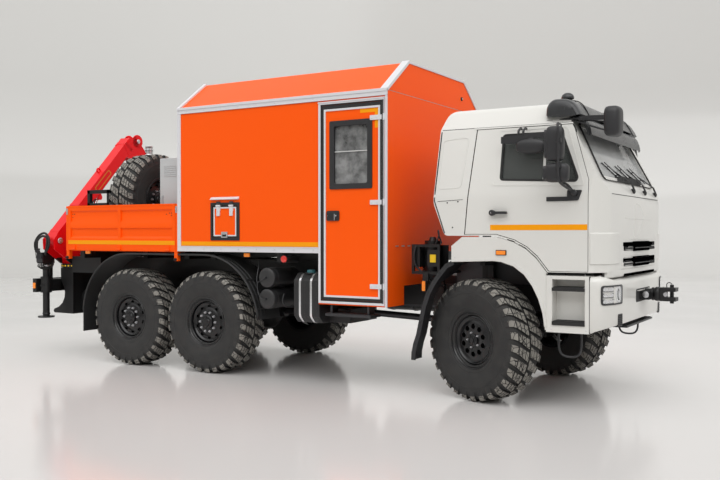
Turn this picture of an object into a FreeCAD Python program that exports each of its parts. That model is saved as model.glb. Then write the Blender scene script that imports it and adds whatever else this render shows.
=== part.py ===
"""Pipeline repair truck: a six-wheel off-road chassis with a tilting cab, a workshop van,
a short drop-side bed and a folding crane behind it.

Millimetres.  X points forward, Y to the vehicle's left, Z up, Z = 0 on the ground.
While the pieces are drawn X is measured from the middle axle; write() moves everything so that
X = 0 lies halfway between the tow eye at the front and the bumper at the rear.
"""
import FreeCAD, Part
import math
import os

V = FreeCAD.Vector
X_AXIS = V(1, 0, 0)
Y_AXIS = V(0, 1, 0)
Z_AXIS = V(0, 0, 1)

# ---------------------------------------------------------------- driving dimensions
FRONT_AXLE_X = 3690
MIDDLE_AXLE_X = 0
REAR_AXLE_X = -1320
TYRE_R = 630
TYRE_W = 430
RIM_R = 268
TRACK = 2050
KINGPIN_Y = 800
STEER_REST = -20.5          # the front wheels are parked turned to the right, degrees
BODY_HALF_W = 1250          # legal half width of cab, van and bed
REAR_TIP_X = -3290
TOW_TIP_X = FRONT_AXLE_X + 1650
TOW_Z = 1095
TOW_GAP = 60
TOW_PIN_R = 20
FIT = 0.3                   # gap between surfaces that only lie against each other
RUN = 5                     # gap of panels and pieces that move past each other

# chassis
RAIL_Y = 400                # outer face of each rail
RAIL_W = 70
RAIL_Z0 = 900
RAIL_H = 250
RAIL_WALL = 9
RAIL_FRONT_X = FRONT_AXLE_X + 1010
RAIL_REAR_X = -3180
AXLE_TUBE_R = 75
DIFF_R = 190
HUB_R = 130

# cab
CAB_WALL = 60
CAB_FRONT_X = FRONT_AXLE_X + 1280
CAB_REAR_X = FRONT_AXLE_X - 550
CAB_SEAM_Z = 2810
CAB_TOP_Z = 3030
CAB_LOW_Z = 1335
CAB_SHELF_Z = 1705
CAB_WAIST_Z = 2100
CAB_ROOF_HALF_W = BODY_HALF_W - 110
CAB_CROWN_HALF_W = BODY_HALF_W - 270
CAB_HALF_W = BODY_HALF_W - 10
DOOR_FRONT_X = FRONT_AXLE_X + 1080
DOOR_REAR_X = FRONT_AXLE_X - 175

# van
VAN_FRONT_X = 2590
VAN_REAR_X = -410
VAN_FLOOR_Z = 1510
VAN_EAVE_Z = 3275
VAN_RIDGE_Z = 3655
VAN_RIDGE_HALF_W = 740
VAN_WALL = 55
VAN_FLOOR_T = 70
WELL_LOW_Z = 930
WELL_MID_Z = 1085
WELL_INNER_Y = 855
WELL_FAR_Y = 386
VAN_DOOR_X0 = 1750
VAN_DOOR_X1 = 2545
VAN_DOOR_TOP_Z = 3165
VAN_WINDOW = (1890, 2380, 2250, 2950)
HATCH = (150, 550, 1670, 2070)

# bed
BED_REAR_X = -2470
BED_FLOOR_Z = 1490
BED_FLOOR_T = 75
BED_TOP_Z = 2100
BED_SIDE_T = 30
BED_GAP_X = 12              # between bed and van

# crane
CRANE_X = -2930             # plane in which the crane is folded, and its slewing axis
SLEW_Y = -740
SLEW_Z = 1290               # top of the slewing ring
FOOT_Y = -1080              # pin of the main boom on the column
FOOT_Z = 1625
KNUCKLE_Y = 455             # pin of the outer boom on the main boom
KNUCKLE_Z = 3165
BOOM_W = 190
BOOM_H = 165
OUTER_Y = 620               # centre line of the outer boom, hanging from the knuckle
OUTER_W = 130
OUTER_H = 150
OUTER_LOW_Z = 1640
EXTENSION_LOW_Z = 1430
LEG_X = -3125
LEG_Y = 1055
LEG_R = 48
LEG_TOP_Z = 1380
LEG_FOOT_Z = 545
BEAM_Z0 = 900
BEAM_H = 170


# ---------------------------------------------------------------- helpers
def box(x0, x1, y0, y1, z0, z1):
    """A block between two corners."""
    return Part.makeBox(x1 - x0, y1 - y0, z1 - z0, V(x0, y0, z0))


def rod(start, end, radius, inner=0):
    """A round bar, or a tube when inner is given, from one point to another."""
    start, end = V(*start), V(*end)
    way = end - start
    bar = Part.makeCylinder(radius, way.Length, start, way)
    if inner:
        bar = bar.cut(Part.makeCylinder(inner, way.Length, start, way))
    return bar


def side_prism(points, y0, y1):
    """An outline of (x, z) points pulled from y0 to y1."""
    wire = Part.makePolygon([V(x, y0, z) for x, z in points + points[:1]])
    return Part.Face(wire).extrude(V(0, y1 - y0, 0))


def cross_prism(points, x0, x1):
    """An outline of (y, z) points pulled from x0 to x1."""
    wire = Part.makePolygon([V(x0, y, z) for y, z in points + points[:1]])
    return Part.Face(wire).extrude(V(x1 - x0, 0, 0))


def plan_prism(points, z0, z1):
    """An outline of (x, y) points pulled from z0 to z1."""
    wire = Part.makePolygon([V(x, y, z0) for x, y in points + points[:1]])
    return Part.Face(wire).extrude(V(0, 0, z1 - z0))


def turned(profile, centre, axis):
    """A profile of (radius, offset along the axis) points turned about an axis through centre."""
    wire = Part.makePolygon([V(r, 0, s) for r, s in profile + profile[:1]])
    solid = Part.Face(wire).revolve(V(0, 0, 0), Z_AXIS, 360)
    solid.Placement = FreeCAD.Placement(V(*centre), FreeCAD.Rotation(Z_AXIS, V(*axis)))
    return solid


def mirror(shape):
    """The same shape on the other side of the vehicle."""
    return shape.mirror(V(0, 0, 0), Y_AXIS)


def fuse(shapes):
    """One solid from shapes that touch."""
    first, rest = shapes[0], shapes[1:]
    return first.fuse(rest).removeSplitter() if rest else first


def solids(shape):
    """The solids of a shape, as a list."""
    return shape.Solids


def write(name, *shapes):
    """Write one named piece, as one solid or as several that don't touch."""
    pieces = [s.copy() for shape in shapes for s in solids(shape)]
    for piece in pieces:
        piece.translate(V(-(TOW_TIP_X + REAR_TIP_X) / 2, 0, 0))
    whole = pieces[0] if len(pieces) == 1 else Part.makeCompound(pieces)
    whole.exportStep(os.path.join("parts", name + ".step"))


# ---------------------------------------------------------------- wheels
def tyre(centre, side):
    """A tyre with rounded shoulders; side is +1 on the left and -1 on the right."""
    half = TYRE_W / 2
    bead = 166
    profile = [(RIM_R + 2, -bead), (296, -bead), (345, -bead - 8), (410, -half + 4), (480, -half), (560, -half + 8),
               (606, -half + 28), (TYRE_R, -half + 62), (TYRE_R, half - 62), (606, half - 28),
               (560, half - 8), (480, half), (410, half - 4), (345, bead + 8), (296, bead), (RIM_R + 2, bead)]
    return turned(profile, centre, (0, side, 0))


def rim(centre, side, dish):
    """A disc wheel: barrel with two flanges, and a disc at offset dish from the middle."""
    barrel = turned([(250, -170), (292, -172), (292, -166 - FIT), (RIM_R, -166 - FIT), (RIM_R, 166 + FIT),
                     (292, 166 + FIT), (292, 172), (250, 170)], centre, (0, side, 0))
    disc = turned([(88, dish - 6), (251, dish - 6), (251, dish + 6), (88, dish + 6)], centre, (0, side, 0))
    return fuse([barrel, disc])


FRONT_FACE = 60
REAR_FACE = -40


def steered(shape, side):
    """A shape on a front wheel, turned about its kingpin to the parked steering angle."""
    copy = shape.copy()
    copy.rotate(V(FRONT_AXLE_X, side * KINGPIN_Y, 0), Z_AXIS, STEER_REST)
    return copy


def make_wheels():
    """Six wheels: each a tyre on a rim."""
    for row, x in (("front", FRONT_AXLE_X), ("middle", MIDDLE_AXLE_X), ("rear", REAR_AXLE_X)):
        for name, side in (("left", 1), ("right", -1)):
            centre = (x, side * TRACK / 2, TYRE_R)
            rubber = tyre(centre, side)
            face = FRONT_FACE if row == "front" else REAR_FACE
            metal = fuse([rim(centre, side, face), hub_cap(centre, side, face)])
            if row == "front":
                rubber, metal = steered(rubber, side), steered(metal, side)
            write("tyre_%s_%s" % (row, name), rubber)
            write("rim_%s_%s" % (row, name), metal)


def hub_cap(centre, side, face):
    """The hub shell bolted through the disc, part of the turning wheel."""
    return turned([(0, face - 55), (120, face - 55), (120, face + 6), (96, face + 6), (96, face + 34),
                   (70, face + 62), (0, face + 62)], centre, (0, side, 0))


# ---------------------------------------------------------------- axles and steering
DIFF_Y = 90
KNUCKLE_R = 105
KNUCKLE_INNER = 55          # from the kingpin in to the knuckle's inner face
ARM_R = 300                 # from the kingpin back to the track rod's ball
ARM_Z = 560
BALL_R = 26


def axle(x, reach):
    """A driven axle: a tube as wide as reach, with the differential in the middle."""
    tube = rod((x, -reach, TYRE_R), (x, reach, TYRE_R), AXLE_TUBE_R)
    bowl = Part.makeSphere(DIFF_R, V(x, DIFF_Y, TYRE_R))
    nose = rod((x, DIFF_Y, TYRE_R + 30), (x + 290, DIFF_Y, TYRE_R + 60), 80)
    return fuse([tube, bowl, nose])


def make_axles():
    """The front axle ends at the swivel yokes, the other two at their hub flanges."""
    yoke_in = KINGPIN_Y - KNUCKLE_R - 60
    front = axle(FRONT_AXLE_X, yoke_in)
    parts = [front]
    for side in (1, -1):
        y = side * KINGPIN_Y
        inner = side * (yoke_in - 20)
        y0, y1 = sorted((inner, y + side * 40))
        fork = box(FRONT_AXLE_X - 50, FRONT_AXLE_X + 50, y0, y1, TYRE_R - 145, TYRE_R + 145)
        gap = box(FRONT_AXLE_X - 60, FRONT_AXLE_X + 60, min(y + side * 50, y - side * 112),
                  max(y + side * 50, y - side * 112), TYRE_R - 108, TYRE_R + 108)
        parts.append(fork.cut(gap))
    write("front_axle", fuse(parts))
    for name, x in (("middle_axle", MIDDLE_AXLE_X), ("rear_axle", REAR_AXLE_X)):
        ends = []
        for side in (1, -1):
            y = side * (TRACK / 2 + REAR_FACE - 55 - FIT)
            ends.append(rod((x, y - side * 40, TYRE_R), (x, y, TYRE_R), 140))
        write(name, fuse([axle(x, TRACK / 2 + REAR_FACE - 55 - 30)] + ends))


def make_knuckles():
    """Each front wheel turns on a knuckle between the yoke's arms, with an arm to the rear."""
    for name, side in (("left", 1), ("right", -1)):
        y = side * KINGPIN_Y
        face = side * (TRACK / 2 + FRONT_FACE - 55 - FIT)
        body = rod((FRONT_AXLE_X, y, TYRE_R - 108 + FIT), (FRONT_AXLE_X, y, TYRE_R + 108 - FIT), 48)
        spindle = rod((FRONT_AXLE_X, y, TYRE_R), (FRONT_AXLE_X, face, TYRE_R), 70)
        disc = rod((FRONT_AXLE_X, face - side * 50, TYRE_R), (FRONT_AXLE_X, face, TYRE_R), 140)
        arm = box(FRONT_AXLE_X - ARM_R - 25, FRONT_AXLE_X - 20, y - 22, y + 22, ARM_Z - 14, ARM_Z + 14)
        write("knuckle_" + name, steered(fuse([body, spindle, disc, arm]), side))


def ball_point(side):
    """Where the track rod's ball sits at the parked steering angle."""
    angle = math.radians(STEER_REST)
    return (FRONT_AXLE_X - ARM_R * math.cos(angle), side * KINGPIN_Y - ARM_R * math.sin(angle))


def make_tie_rod():
    """The track rod under the two steering arms."""
    z = ARM_Z - 14 - FIT - BALL_R
    points = [ball_point(side) for side in (-1, 1)]
    ends = [rod((x, y, z - BALL_R), (x, y, z + BALL_R), 30) for x, y in points]
    (x0, y0), (x1, y1) = points
    write("tie_rod", fuse([rod((x0, y0, z), (x1, y1, z), 20)] + ends))


# ---------------------------------------------------------------- chassis
SPRING_W = 75
SPRING_Y = 390              # outer face of each spring pack
GUARD_Y0 = 790              # inner edge of the guards over the rear wheels
GUARD_R = 820


def channel(x0, x1, side):
    """A pressed rail, open to the inside."""
    y0, y1 = sorted((side * RAIL_Y, side * (RAIL_Y - RAIL_W)))
    rail = box(x0, x1, y0, y1, RAIL_Z0, RAIL_Z0 + RAIL_H)
    inner = (side * (RAIL_Y - RAIL_WALL), side * (RAIL_Y - RAIL_W - 10))
    hollow = box(x0 - 1, x1 + 1, min(inner), max(inner), RAIL_Z0 + RAIL_WALL, RAIL_Z0 + RAIL_H - RAIL_WALL)
    return rail.cut(hollow)


def make_frame():
    """Two rails, their cross-members and the outriggers under van and bed."""
    rails = [channel(RAIL_REAR_X, RAIL_FRONT_X, side) for side in (1, -1)]
    inner = RAIL_Y - RAIL_WALL
    members = []
    for x in (RAIL_REAR_X + 46, -2000, -660, 700, RAIL_FRONT_X - 120):
        members.append(box(x - 45, x + 45, -inner - 2, inner + 2, RAIL_Z0 + 30, RAIL_Z0 + RAIL_H - 40))
    top = RAIL_Z0 + RAIL_H
    sills = []
    for side in (1, -1):
        y0, y1 = sorted((side * (RAIL_Y - RAIL_W), side * RAIL_Y))
        sills.append(box(BED_REAR_X + 60, VAN_FRONT_X - 60, y0, y1, top, BED_FLOOR_Z - 100))
    bearers = []
    wide = BODY_HALF_W - 90
    for x, reach, z in ((BED_REAR_X + 220, wide, BED_FLOOR_Z), (-1450, GUARD_Y0 - 20, BED_FLOOR_Z),
                        (-700, GUARD_Y0 - 20, BED_FLOOR_Z), (-250, GUARD_Y0 - 20, VAN_FLOOR_Z),
                        (1100, wide, VAN_FLOOR_Z)):
        bearers.append(box(x - 40, x + 40, -reach, reach, BED_FLOOR_Z - 100, z))
    bearers.append(box(2360, 2440, -WELL_FAR_Y + 5, wide, BED_FLOOR_Z - 100, VAN_FLOOR_Z))
    for side in (1, -1):
        y0, y1 = sorted((side * (RAIL_Y - 55), side * RAIL_Y))
        bearers.append(box(CAB_REAR_X + 200, CAB_REAR_X + 280, y0, y1, top - 1, CAB_SHELF_Z - FIT))
    well = box(VAN_FRONT_X - 900, VAN_FRONT_X + 1, -RAIL_Y - 1, -WELL_FAR_Y + FIT, WELL_MID_Z + 60 - FIT, VAN_FLOOR_Z + 1)
    write("frame", fuse(rails + members + sills + bearers).cut(well))


def make_springs():
    """Leaf springs: a pair over the front axle and a pair between the two rear axles."""
    packs = []
    for side in (1, -1):
        y0, y1 = sorted((side * SPRING_Y, side * (SPRING_Y - SPRING_W)))
        z = TYRE_R + AXLE_TUBE_R + FIT
        front = [(FRONT_AXLE_X - 720, z + 110), (FRONT_AXLE_X - 300, z + 25), (FRONT_AXLE_X - 90, z),
                 (FRONT_AXLE_X + 90, z), (FRONT_AXLE_X + 300, z + 25), (FRONT_AXLE_X + 720, z + 110),
                 (FRONT_AXLE_X + 720, RAIL_Z0 - FIT), (FRONT_AXLE_X + 640, RAIL_Z0 - FIT),
                 (FRONT_AXLE_X + 600, z + 125), (FRONT_AXLE_X + 120, z + 95), (FRONT_AXLE_X - 120, z + 95),
                 (FRONT_AXLE_X - 600, z + 125), (FRONT_AXLE_X - 640, RAIL_Z0 - FIT),
                 (FRONT_AXLE_X - 720, RAIL_Z0 - FIT)]
        packs.append(side_prism(front, y0, y1))
        mid = (MIDDLE_AXLE_X + REAR_AXLE_X) / 2
        z = TYRE_R + AXLE_TUBE_R + FIT
        rear = [(REAR_AXLE_X - 90, z), (REAR_AXLE_X + 90, z), (mid, z + 60), (MIDDLE_AXLE_X - 90, z),
                (MIDDLE_AXLE_X + 90, z), (MIDDLE_AXLE_X + 90, z + 28), (mid + 120, z + 130),
                (mid + 120, RAIL_Z0 - FIT), (mid - 120, RAIL_Z0 - FIT), (mid - 120, z + 130),
                (REAR_AXLE_X - 90, z + 28)]
        packs.append(side_prism(rear, y0, y1))
    write("leaf_springs", *packs)


def make_drive_line():
    """Engine with gearbox as plain blocks, and the shafts to the three axles."""
    x0, x1 = FRONT_AXLE_X - 690, FRONT_AXLE_X + 590
    engine = box(x0, x1, -340, 340, RAIL_Z0 - 30, 1600)
    narrow = box(x0, x1, 300, 345, RAIL_Z0 - 40, RAIL_Z0 + RAIL_H + 10)
    engine = engine.cut(narrow).cut(mirror(narrow)).cut(cab_block(-4 * RUN))
    gearbox = box(2250, x0, -220, 220, RAIL_Z0 - 40, 1240)
    write("engine", fuse([engine, gearbox]))
    z = TYRE_R + 60
    case = box(1180, 1600, -260, 260, z - 60, RAIL_Z0 + 120)
    rear = rod((MIDDLE_AXLE_X + 287, DIFF_Y, z), (1180, DIFF_Y, z + 60), 45)
    front = rod((1600, -DIFF_Y, z + 60), (FRONT_AXLE_X - DIFF_R - 20, -DIFF_Y, z - 10), 40)
    link = rod((REAR_AXLE_X + 287, DIFF_Y, z), (MIDDLE_AXLE_X - DIFF_R + 40, DIFF_Y, z), 40)
    short = rod((1600, 0, RAIL_Z0 + 60), (2250, 0, RAIL_Z0 + 60), 45)
    stub = Part.makeSphere(95, V(FRONT_AXLE_X - DIFF_R - 40, -DIFF_Y, z - 10))
    noses = [rod((x + 200, DIFF_Y, TYRE_R + 30 + 200 / 290 * 30), (x + 290, DIFF_Y, TYRE_R + 60), 80 + FIT)
             for x in (MIDDLE_AXLE_X, REAR_AXLE_X)]
    bowl = Part.makeSphere(DIFF_R + FIT, V(MIDDLE_AXLE_X, DIFF_Y, TYRE_R))
    write("drive_shafts", fuse([case, rear, short, front, stub]).cut(noses[0]), link.cut(noses[1]).cut(bowl))


TANK_Y0 = RAIL_Y + FIT
FUEL = (1330, 1685, 700, 1270)
BOTTLE_X = 950
BOTTLE_R = 118
BOTTLES_Z = (1206, 956)


def make_tanks():
    """Fuel tank hung from the right rail, a tool box beyond it and two air bottles ahead of the wheel."""
    x0, x1, z0, z1 = FUEL
    y0, y1 = -(BODY_HALF_W - 50), -600
    cut = 80
    outline = [(y0 + cut, z0), (y1 - cut, z0), (y1, z0 + cut), (y1, z1 - cut), (y1 - cut, z1),
               (y0 + cut, z1), (y0, z1 - cut), (y0, z0 + cut)]
    tank = [cross_prism(outline, x0, x1)]
    for x in (x0 + 80, x1 - 80):
        tank.append(box(x - 25, x + 25, y1 - 5, -TANK_Y0, z0 + 120, z0 + 200))
        tank.append(box(x - 25, x + 25, -TANK_Y0 - 30, -TANK_Y0, z0 + 120, RAIL_Z0 + 190))
    tank.append(box(x1 - 10, x1 + 280, -980, -560, z0, z0 + 160))
    bottles = [rod((BOTTLE_X, -(BODY_HALF_W - 50), z), (BOTTLE_X, -690, z), BOTTLE_R) for z in BOTTLES_Z]
    high, low = BOTTLES_Z
    bracket = box(BOTTLE_X - 50, BOTTLE_X + 50, -700, -TANK_Y0, low - 60, RAIL_Z0 + RAIL_H)
    web = box(BOTTLE_X - 30, BOTTLE_X + 30, -900, -690, low, high)
    write("side_tanks", fuse(tank), fuse(bottles + [bracket, web]))


def make_side_rack():
    """The rack between van and cab, with the battery box and the silencer across from it."""
    x0, x1, z0, z1 = 2740, 3080, 1285, 1610
    shelf = box(x0, x1, -960, -TANK_Y0, z0, z0 + 30)
    posts = [box(x, x + 30, -960, -930, z0, z1) for x in (x0, x1 - 30)]
    rail = box(x0, x1, -960, -930, z1 - 30, z1)
    canister = rod((x0 + 170, -780, z0 + 10), (x0 + 170, -780, z1 + 40), 90)
    leg = box(x0 + 60, x0 + 140, -TANK_Y0 - 40, -TANK_Y0, RAIL_Z0 + 40, z0 + 10)
    battery = box(2450, 2870, TANK_Y0, 1080, 820, 1230)
    silencer = rod((1500, 800, 900), (2300, 800, 900), 190)
    hanger = box(1850, 1950, TANK_Y0, 640, 930, 1010)
    write("side_rack", fuse([shelf, rail, canister, leg] + posts), battery, fuse([silencer, hanger]))


# ---------------------------------------------------------------- bumpers, fenders, hitch
def from_axle(points):
    """Points drawn ahead of the front axle, in the drawing's own X."""
    return [(FRONT_AXLE_X + x, z) for x, z in points]


ARCH = from_axle([(201, 1443), (333, 1401), (444, 1321), (530, 1209), (589, 1090), (632, 953), (660, 790)])
SEAM = from_axle([(156, 1705), (332, 1655), (461, 1587), (570, 1494), (684, 1351)])
STEP_X0 = FRONT_AXLE_X + 666
STEP_X1 = FRONT_AXLE_X + 1087
STEP_LOW_Z = 770
BUMPER_TOP_Z = 1300
BUMPER_X = FRONT_AXLE_X + 1300


def bumper():
    """The bumper: a shell rounded at its corners, with a rebate for each lamp."""
    x, y = BUMPER_X, BODY_HALF_W - 25
    half = [(STEP_X1 + 3, y), (x - 130, y), (x - 30, y - 75), (x, y - 225)]
    outline = half + [(px, -py) for px, py in reversed(half)]
    shell = plan_prism(outline, STEP_LOW_Z, BUMPER_TOP_Z)
    inside = box(STEP_X1 - 100, x - 50, -y + 105, y - 105, STEP_LOW_Z - 1, BUMPER_TOP_Z + 1)
    slope = side_prism([(x - 290, STEP_LOW_Z - 10), (x + 110, STEP_LOW_Z - 10), (x + 110, STEP_LOW_Z + 90),
                        (x - 290, STEP_LOW_Z - 9)], -y - 100, y + 100)
    shell = shell.cut(inside).cut(slope)
    pieces = [shell]
    for side in (1, -1):
        lamp = box(x - 65, x + 10, *sorted((side * (y - 295), side * (y - 95))), 1040, 1240)
        pieces[0] = pieces[0].cut(lamp)
        pieces.append(box(x - 90, x - 60, *sorted((side * (y - 330), side * (y - 80))), 1000, 1270))
        pieces.append(box(RAIL_FRONT_X + FIT, x - 45, *sorted((side * (RAIL_Y - RAIL_W), side * RAIL_Y)),
                          960, 1110))
    return fuse(pieces)


def step_box(side):
    """The box with two treads under a cab door, hollowed where the steered tyre's corner passes."""
    y1 = BODY_HALF_W - 15
    block = box(STEP_X0, STEP_X1, *sorted((side * (y1 - 175), side * y1)), STEP_LOW_Z, CAB_LOW_Z - 15)
    for z0, z1 in ((STEP_LOW_Z + 100, 1170), (1210, CAB_LOW_Z - 50)):
        block = block.cut(box(STEP_X0 + 60, STEP_X1 - 40, *sorted((side * (y1 - 145), side * (y1 + 65))), z0, z1))
    sweep = math.hypot(TYRE_R, TRACK / 2 + TYRE_W / 2 - KINGPIN_Y) + 2 * RUN
    block = block.cut(rod((FRONT_AXLE_X, side * KINGPIN_Y, 0), (FRONT_AXLE_X, side * KINGPIN_Y, 1100), sweep))
    x = RAIL_FRONT_X
    bar = box(x - 60, x - FIT, *sorted((side * (RAIL_Y + FIT), side * (y1 - 160))), 930, 990)
    y = side * (y1 - 85)
    loop = [rod((lx, y, STEP_LOW_Z + 2), (lx, y, 530), 11) for lx in (STEP_X0 + 104, STEP_X0 + 319)]
    loop.append(rod((STEP_X0 + 93, y, 530), (STEP_X0 + 330, y, 530), 11))
    return [block, bar] + loop


def front_fender(side):
    """A front wheel arch: skin, top plate, flap behind the wheel and the stay on the rail."""
    y1 = BODY_HALF_W - 5
    rear = FRONT_AXLE_X - 340
    skin = [(rear, 1434), (FRONT_AXLE_X + 120, 1450)] + ARCH
    skin += [(STEP_X0 + 1, 790), (STEP_X0 + 1, 1345)]
    skin += [(x - 3, z - 12) for x, z in reversed(SEAM)] + [(rear + 120, 1693), (rear, 1600)]
    outer = side_prism(skin, *sorted((side * (y1 - 40), side * y1)))
    plate = [(rear, 1434), (FRONT_AXLE_X + 120, 1450)] + ARCH[:4]
    plate += from_axle([(560, 1215), (460, 1345), (350, 1425), (210, 1468), (120, 1476)]) + [(rear, 1462)]
    top = side_prism(plate, *sorted((side * 640, side * (y1 - 35))))
    outline = from_axle([(-340, 1440), (-450, 1434), (-590, 1235), (-700, 1020), (-790, 800), (-815, 390),
                         (-790, 385), (-765, 795), (-675, 1012), (-565, 1222), (-440, 1408), (-340, 1412)])
    flap = side_prism(outline, *sorted((side * 830, side * (y1 - 20))))
    x = FRONT_AXLE_X - 270
    stay = box(x, x + 60, *sorted((side * (RAIL_Y + FIT), side * 660)), 1380, 1440)
    foot = box(x, x + 60, *sorted((side * (RAIL_Y + FIT), side * (RAIL_Y + 30))), RAIL_Z0 + 100, 1440)
    return [outer, top, flap, stay, foot]


def make_front_end():
    """Bumper, fenders with the step boxes, and the tow fork."""
    write("front_bumper", bumper())
    write("front_fenders", *[fuse(front_fender(side) + step_box(side)) for side in (1, -1)])
    x, tip = BUMPER_X, TOW_TIP_X
    plate = box(x + FIT, x + 30, -190, 190, 960, 1190)
    neck = rod((x + 30, 0, TOW_Z), (tip - 140, 0, TOW_Z), 55)
    jaw = box(tip - 160, tip, -75, 75, TOW_Z - 70, TOW_Z + 70)
    gap = box(tip - 105, tip + 1, -80, 80, TOW_Z - TOW_GAP / 2, TOW_Z + TOW_GAP / 2)
    tow_pin = rod((tip - 50, 0, TOW_Z - 95), (tip - 50, 0, TOW_Z + 100), TOW_PIN_R)
    write("tow_fork", fuse([plate, neck, jaw.cut(gap), tow_pin]))


def arc_band(cx, cz, radius, thick, a0, a1, y0, y1):
    """A curved sheet about a wheel, from angle a0 to a1 in degrees above straight ahead."""
    def point(r, a):
        return V(cx + r * math.cos(math.radians(a)), y0, cz + r * math.sin(math.radians(a)))
    mid = (a0 + a1) / 2
    outer = Part.Arc(point(radius + thick, a0), point(radius + thick, mid), point(radius + thick, a1)).toShape()
    inner = Part.Arc(point(radius, a1), point(radius, mid), point(radius, a0)).toShape()
    ends = [Part.LineSegment(point(radius + thick, a1), point(radius, a1)).toShape(),
            Part.LineSegment(point(radius, a0), point(radius + thick, a0)).toShape()]
    return Part.Face(Part.Wire([outer, ends[0], inner, ends[1]])).extrude(V(0, y1 - y0, 0))


def make_rear_fenders():
    """Curved guards over the two rear axles, with flaps behind."""
    guards = []
    thick = 14
    for side in (1, -1):
        y0, y1 = sorted((side * GUARD_Y0, side * (BODY_HALF_W - 15)))
        rear = arc_band(REAR_AXLE_X, TYRE_R, GUARD_R, thick, 90, 180, y0, y1)
        front = arc_band(MIDDLE_AXLE_X, TYRE_R, GUARD_R, thick, 5, 90, y0, y1)
        x = REAR_AXLE_X - GUARD_R - thick
        flap = box(x, x + thick, y0, y1, 400, TYRE_R + 5)
        top_z = TYRE_R + GUARD_R
        top = box(REAR_AXLE_X - 1, MIDDLE_AXLE_X + 1, y0, y1, top_z, top_z + thick)
        ya, yb = sorted((side * (RAIL_Y + FIT), side * (GUARD_Y0 + 10)))
        stays = [box(REAR_AXLE_X - 700, REAR_AXLE_X - 640, ya, yb, 1080, 1140),
                 box(MIDDLE_AXLE_X + 640, MIDDLE_AXLE_X + 700, ya, yb, 1080, 1140)]
        post_x = VAN_REAR_X - BED_GAP_X - 60
        notch = box(post_x - RUN, post_x + 55 + RUN, *sorted((side * (BODY_HALF_W - 70), side * BODY_HALF_W)),
                    top_z - 40, top_z + thick + 1)
        guards.append(fuse([rear, front, flap, top] + stays).cut(notch))
    write("rear_fenders", *guards)


# ---------------------------------------------------------------- cab
def rounded(points, radii, steps=5):
    """An outline with each corner rounded to its radius, or as far as its sides allow."""
    out = []
    for k, (x, y) in enumerate(points):
        (px, py), (nx, ny) = points[k - 1], points[(k + 1) % len(points)]
        ax, ay, bx, by = px - x, py - y, nx - x, ny - y
        la, lb = math.hypot(ax, ay), math.hypot(bx, by)
        ax, ay, bx, by = ax / la, ay / la, bx / lb, by / lb
        half = math.acos(max(-1, min(1, ax * bx + ay * by))) / 2
        run = min(radii[k] / math.tan(half), 0.48 * la, 0.48 * lb)
        if run < 1:
            out.append((x, y))
            continue
        for n in range(steps + 1):
            t = n / steps
            wa, wc, wb = (1 - t) ** 2, 2 * t * (1 - t), t ** 2
            out.append((x + run * (wa * ax + wb * bx), y + run * (wa * ay + wb * by)))
    return out


def cab_side_outline(inset):
    """The cab from the side, drawn in by inset."""
    i = inset
    front, rear = CAB_FRONT_X, CAB_REAR_X
    corners = [(x + i, z + i, 0) for x, z in SEAM]
    corners += [(front - i, CAB_LOW_Z + 20 + i, 60), (front - i, 1900, 900), (front - 40 - i, 2130, 500),
                (front - 125 - i, 2270, 60), (front - 405 - i, 2830, 160), (front - 540 - i, CAB_TOP_Z - i, 130)]
    corners += [(rear + 85 + i, CAB_TOP_Z - i, 130), (rear + 40 + i, CAB_SEAM_Z, 200), (rear + i, 2045, 200),
                (rear + 130 + i, CAB_SHELF_Z + i, 60)]
    return rounded([(x, z) for x, z, _ in corners], [r for _, _, r in corners])


def cab_cross_outline(inset):
    """The cab from the front, drawn in by inset."""
    i = inset
    half = [(CAB_HALF_W - i, CAB_LOW_Z - 50, 0), (CAB_HALF_W - i, CAB_WAIST_Z, 700),
            (CAB_ROOF_HALF_W - i, CAB_SEAM_Z, 110), (CAB_CROWN_HALF_W - i, CAB_TOP_Z - i, 160)]
    corners = half + [(-y, z, r) for y, z, r in reversed(half)]
    return rounded([(y, z) for y, z, _ in corners], [r for _, _, r in corners])


def cab_plan_outline(inset):
    """The cab from above: bowed across its front, with round corners."""
    front, rear, half = CAB_FRONT_X - inset, CAB_REAR_X + inset, CAB_HALF_W - inset
    side = [(rear, half + 20, 0), (front - 250, half + 20, 0), (front - 170, half - 12, 160),
            (front - 30, half - 200, 200), (front, half - 700, 900)]
    corners = side + [(x, -y, r) for x, y, r in reversed(side)]
    corners[0] = (rear, half + 20, 0)
    return rounded([(x, y) for x, y, _ in corners], [r for _, _, r in corners])


def cab_block(inset):
    """The cab's outer form, or its inside when inset is the wall."""
    body = side_prism(cab_side_outline(inset), -BODY_HALF_W - 100, BODY_HALF_W + 100)
    body = body.common(cross_prism(cab_cross_outline(inset), CAB_REAR_X - 100, CAB_FRONT_X + 100))
    return body.common(plan_prism(cab_plan_outline(inset), CAB_LOW_Z - 100, CAB_TOP_Z + 100))


def door_outline(gap):
    """A cab door from the side: its front edge follows the pillar, its foot the wheel arch."""
    g = gap
    shelf = CAB_SHELF_Z + 12 + g
    head = CAB_SEAM_Z - 18 - g
    arch = [(x + 8 + g, z + 8 + g) for x, z in SEAM[1:]]
    return ([(DOOR_REAR_X - 25 + 2 * g, shelf), (SEAM[0][0] - 6 + g, shelf)] + arch
            + [(DOOR_FRONT_X - g, CAB_LOW_Z + 24 + g), (DOOR_FRONT_X - g, 2240),
               (DOOR_FRONT_X - 170 - g, head), (DOOR_REAR_X + 75 + 2 * g, head)])


DOOR_WINDOW = from_axle([(190, 2270), (950, 2235), (965, 2270), (790, 2715), (200, 2715)])
WINDSHIELD = [(-(BODY_HALF_W - 240), 2290), (BODY_HALF_W - 240, 2290),
              (BODY_HALF_W - 350, 2790), (-(BODY_HALF_W - 350), 2790)]
PANE_DEPTH = 20             # from a cab wall's outer face in to its glass
PANE_T = 8
REAR_PANE = (420, 2250, 2650)


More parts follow.
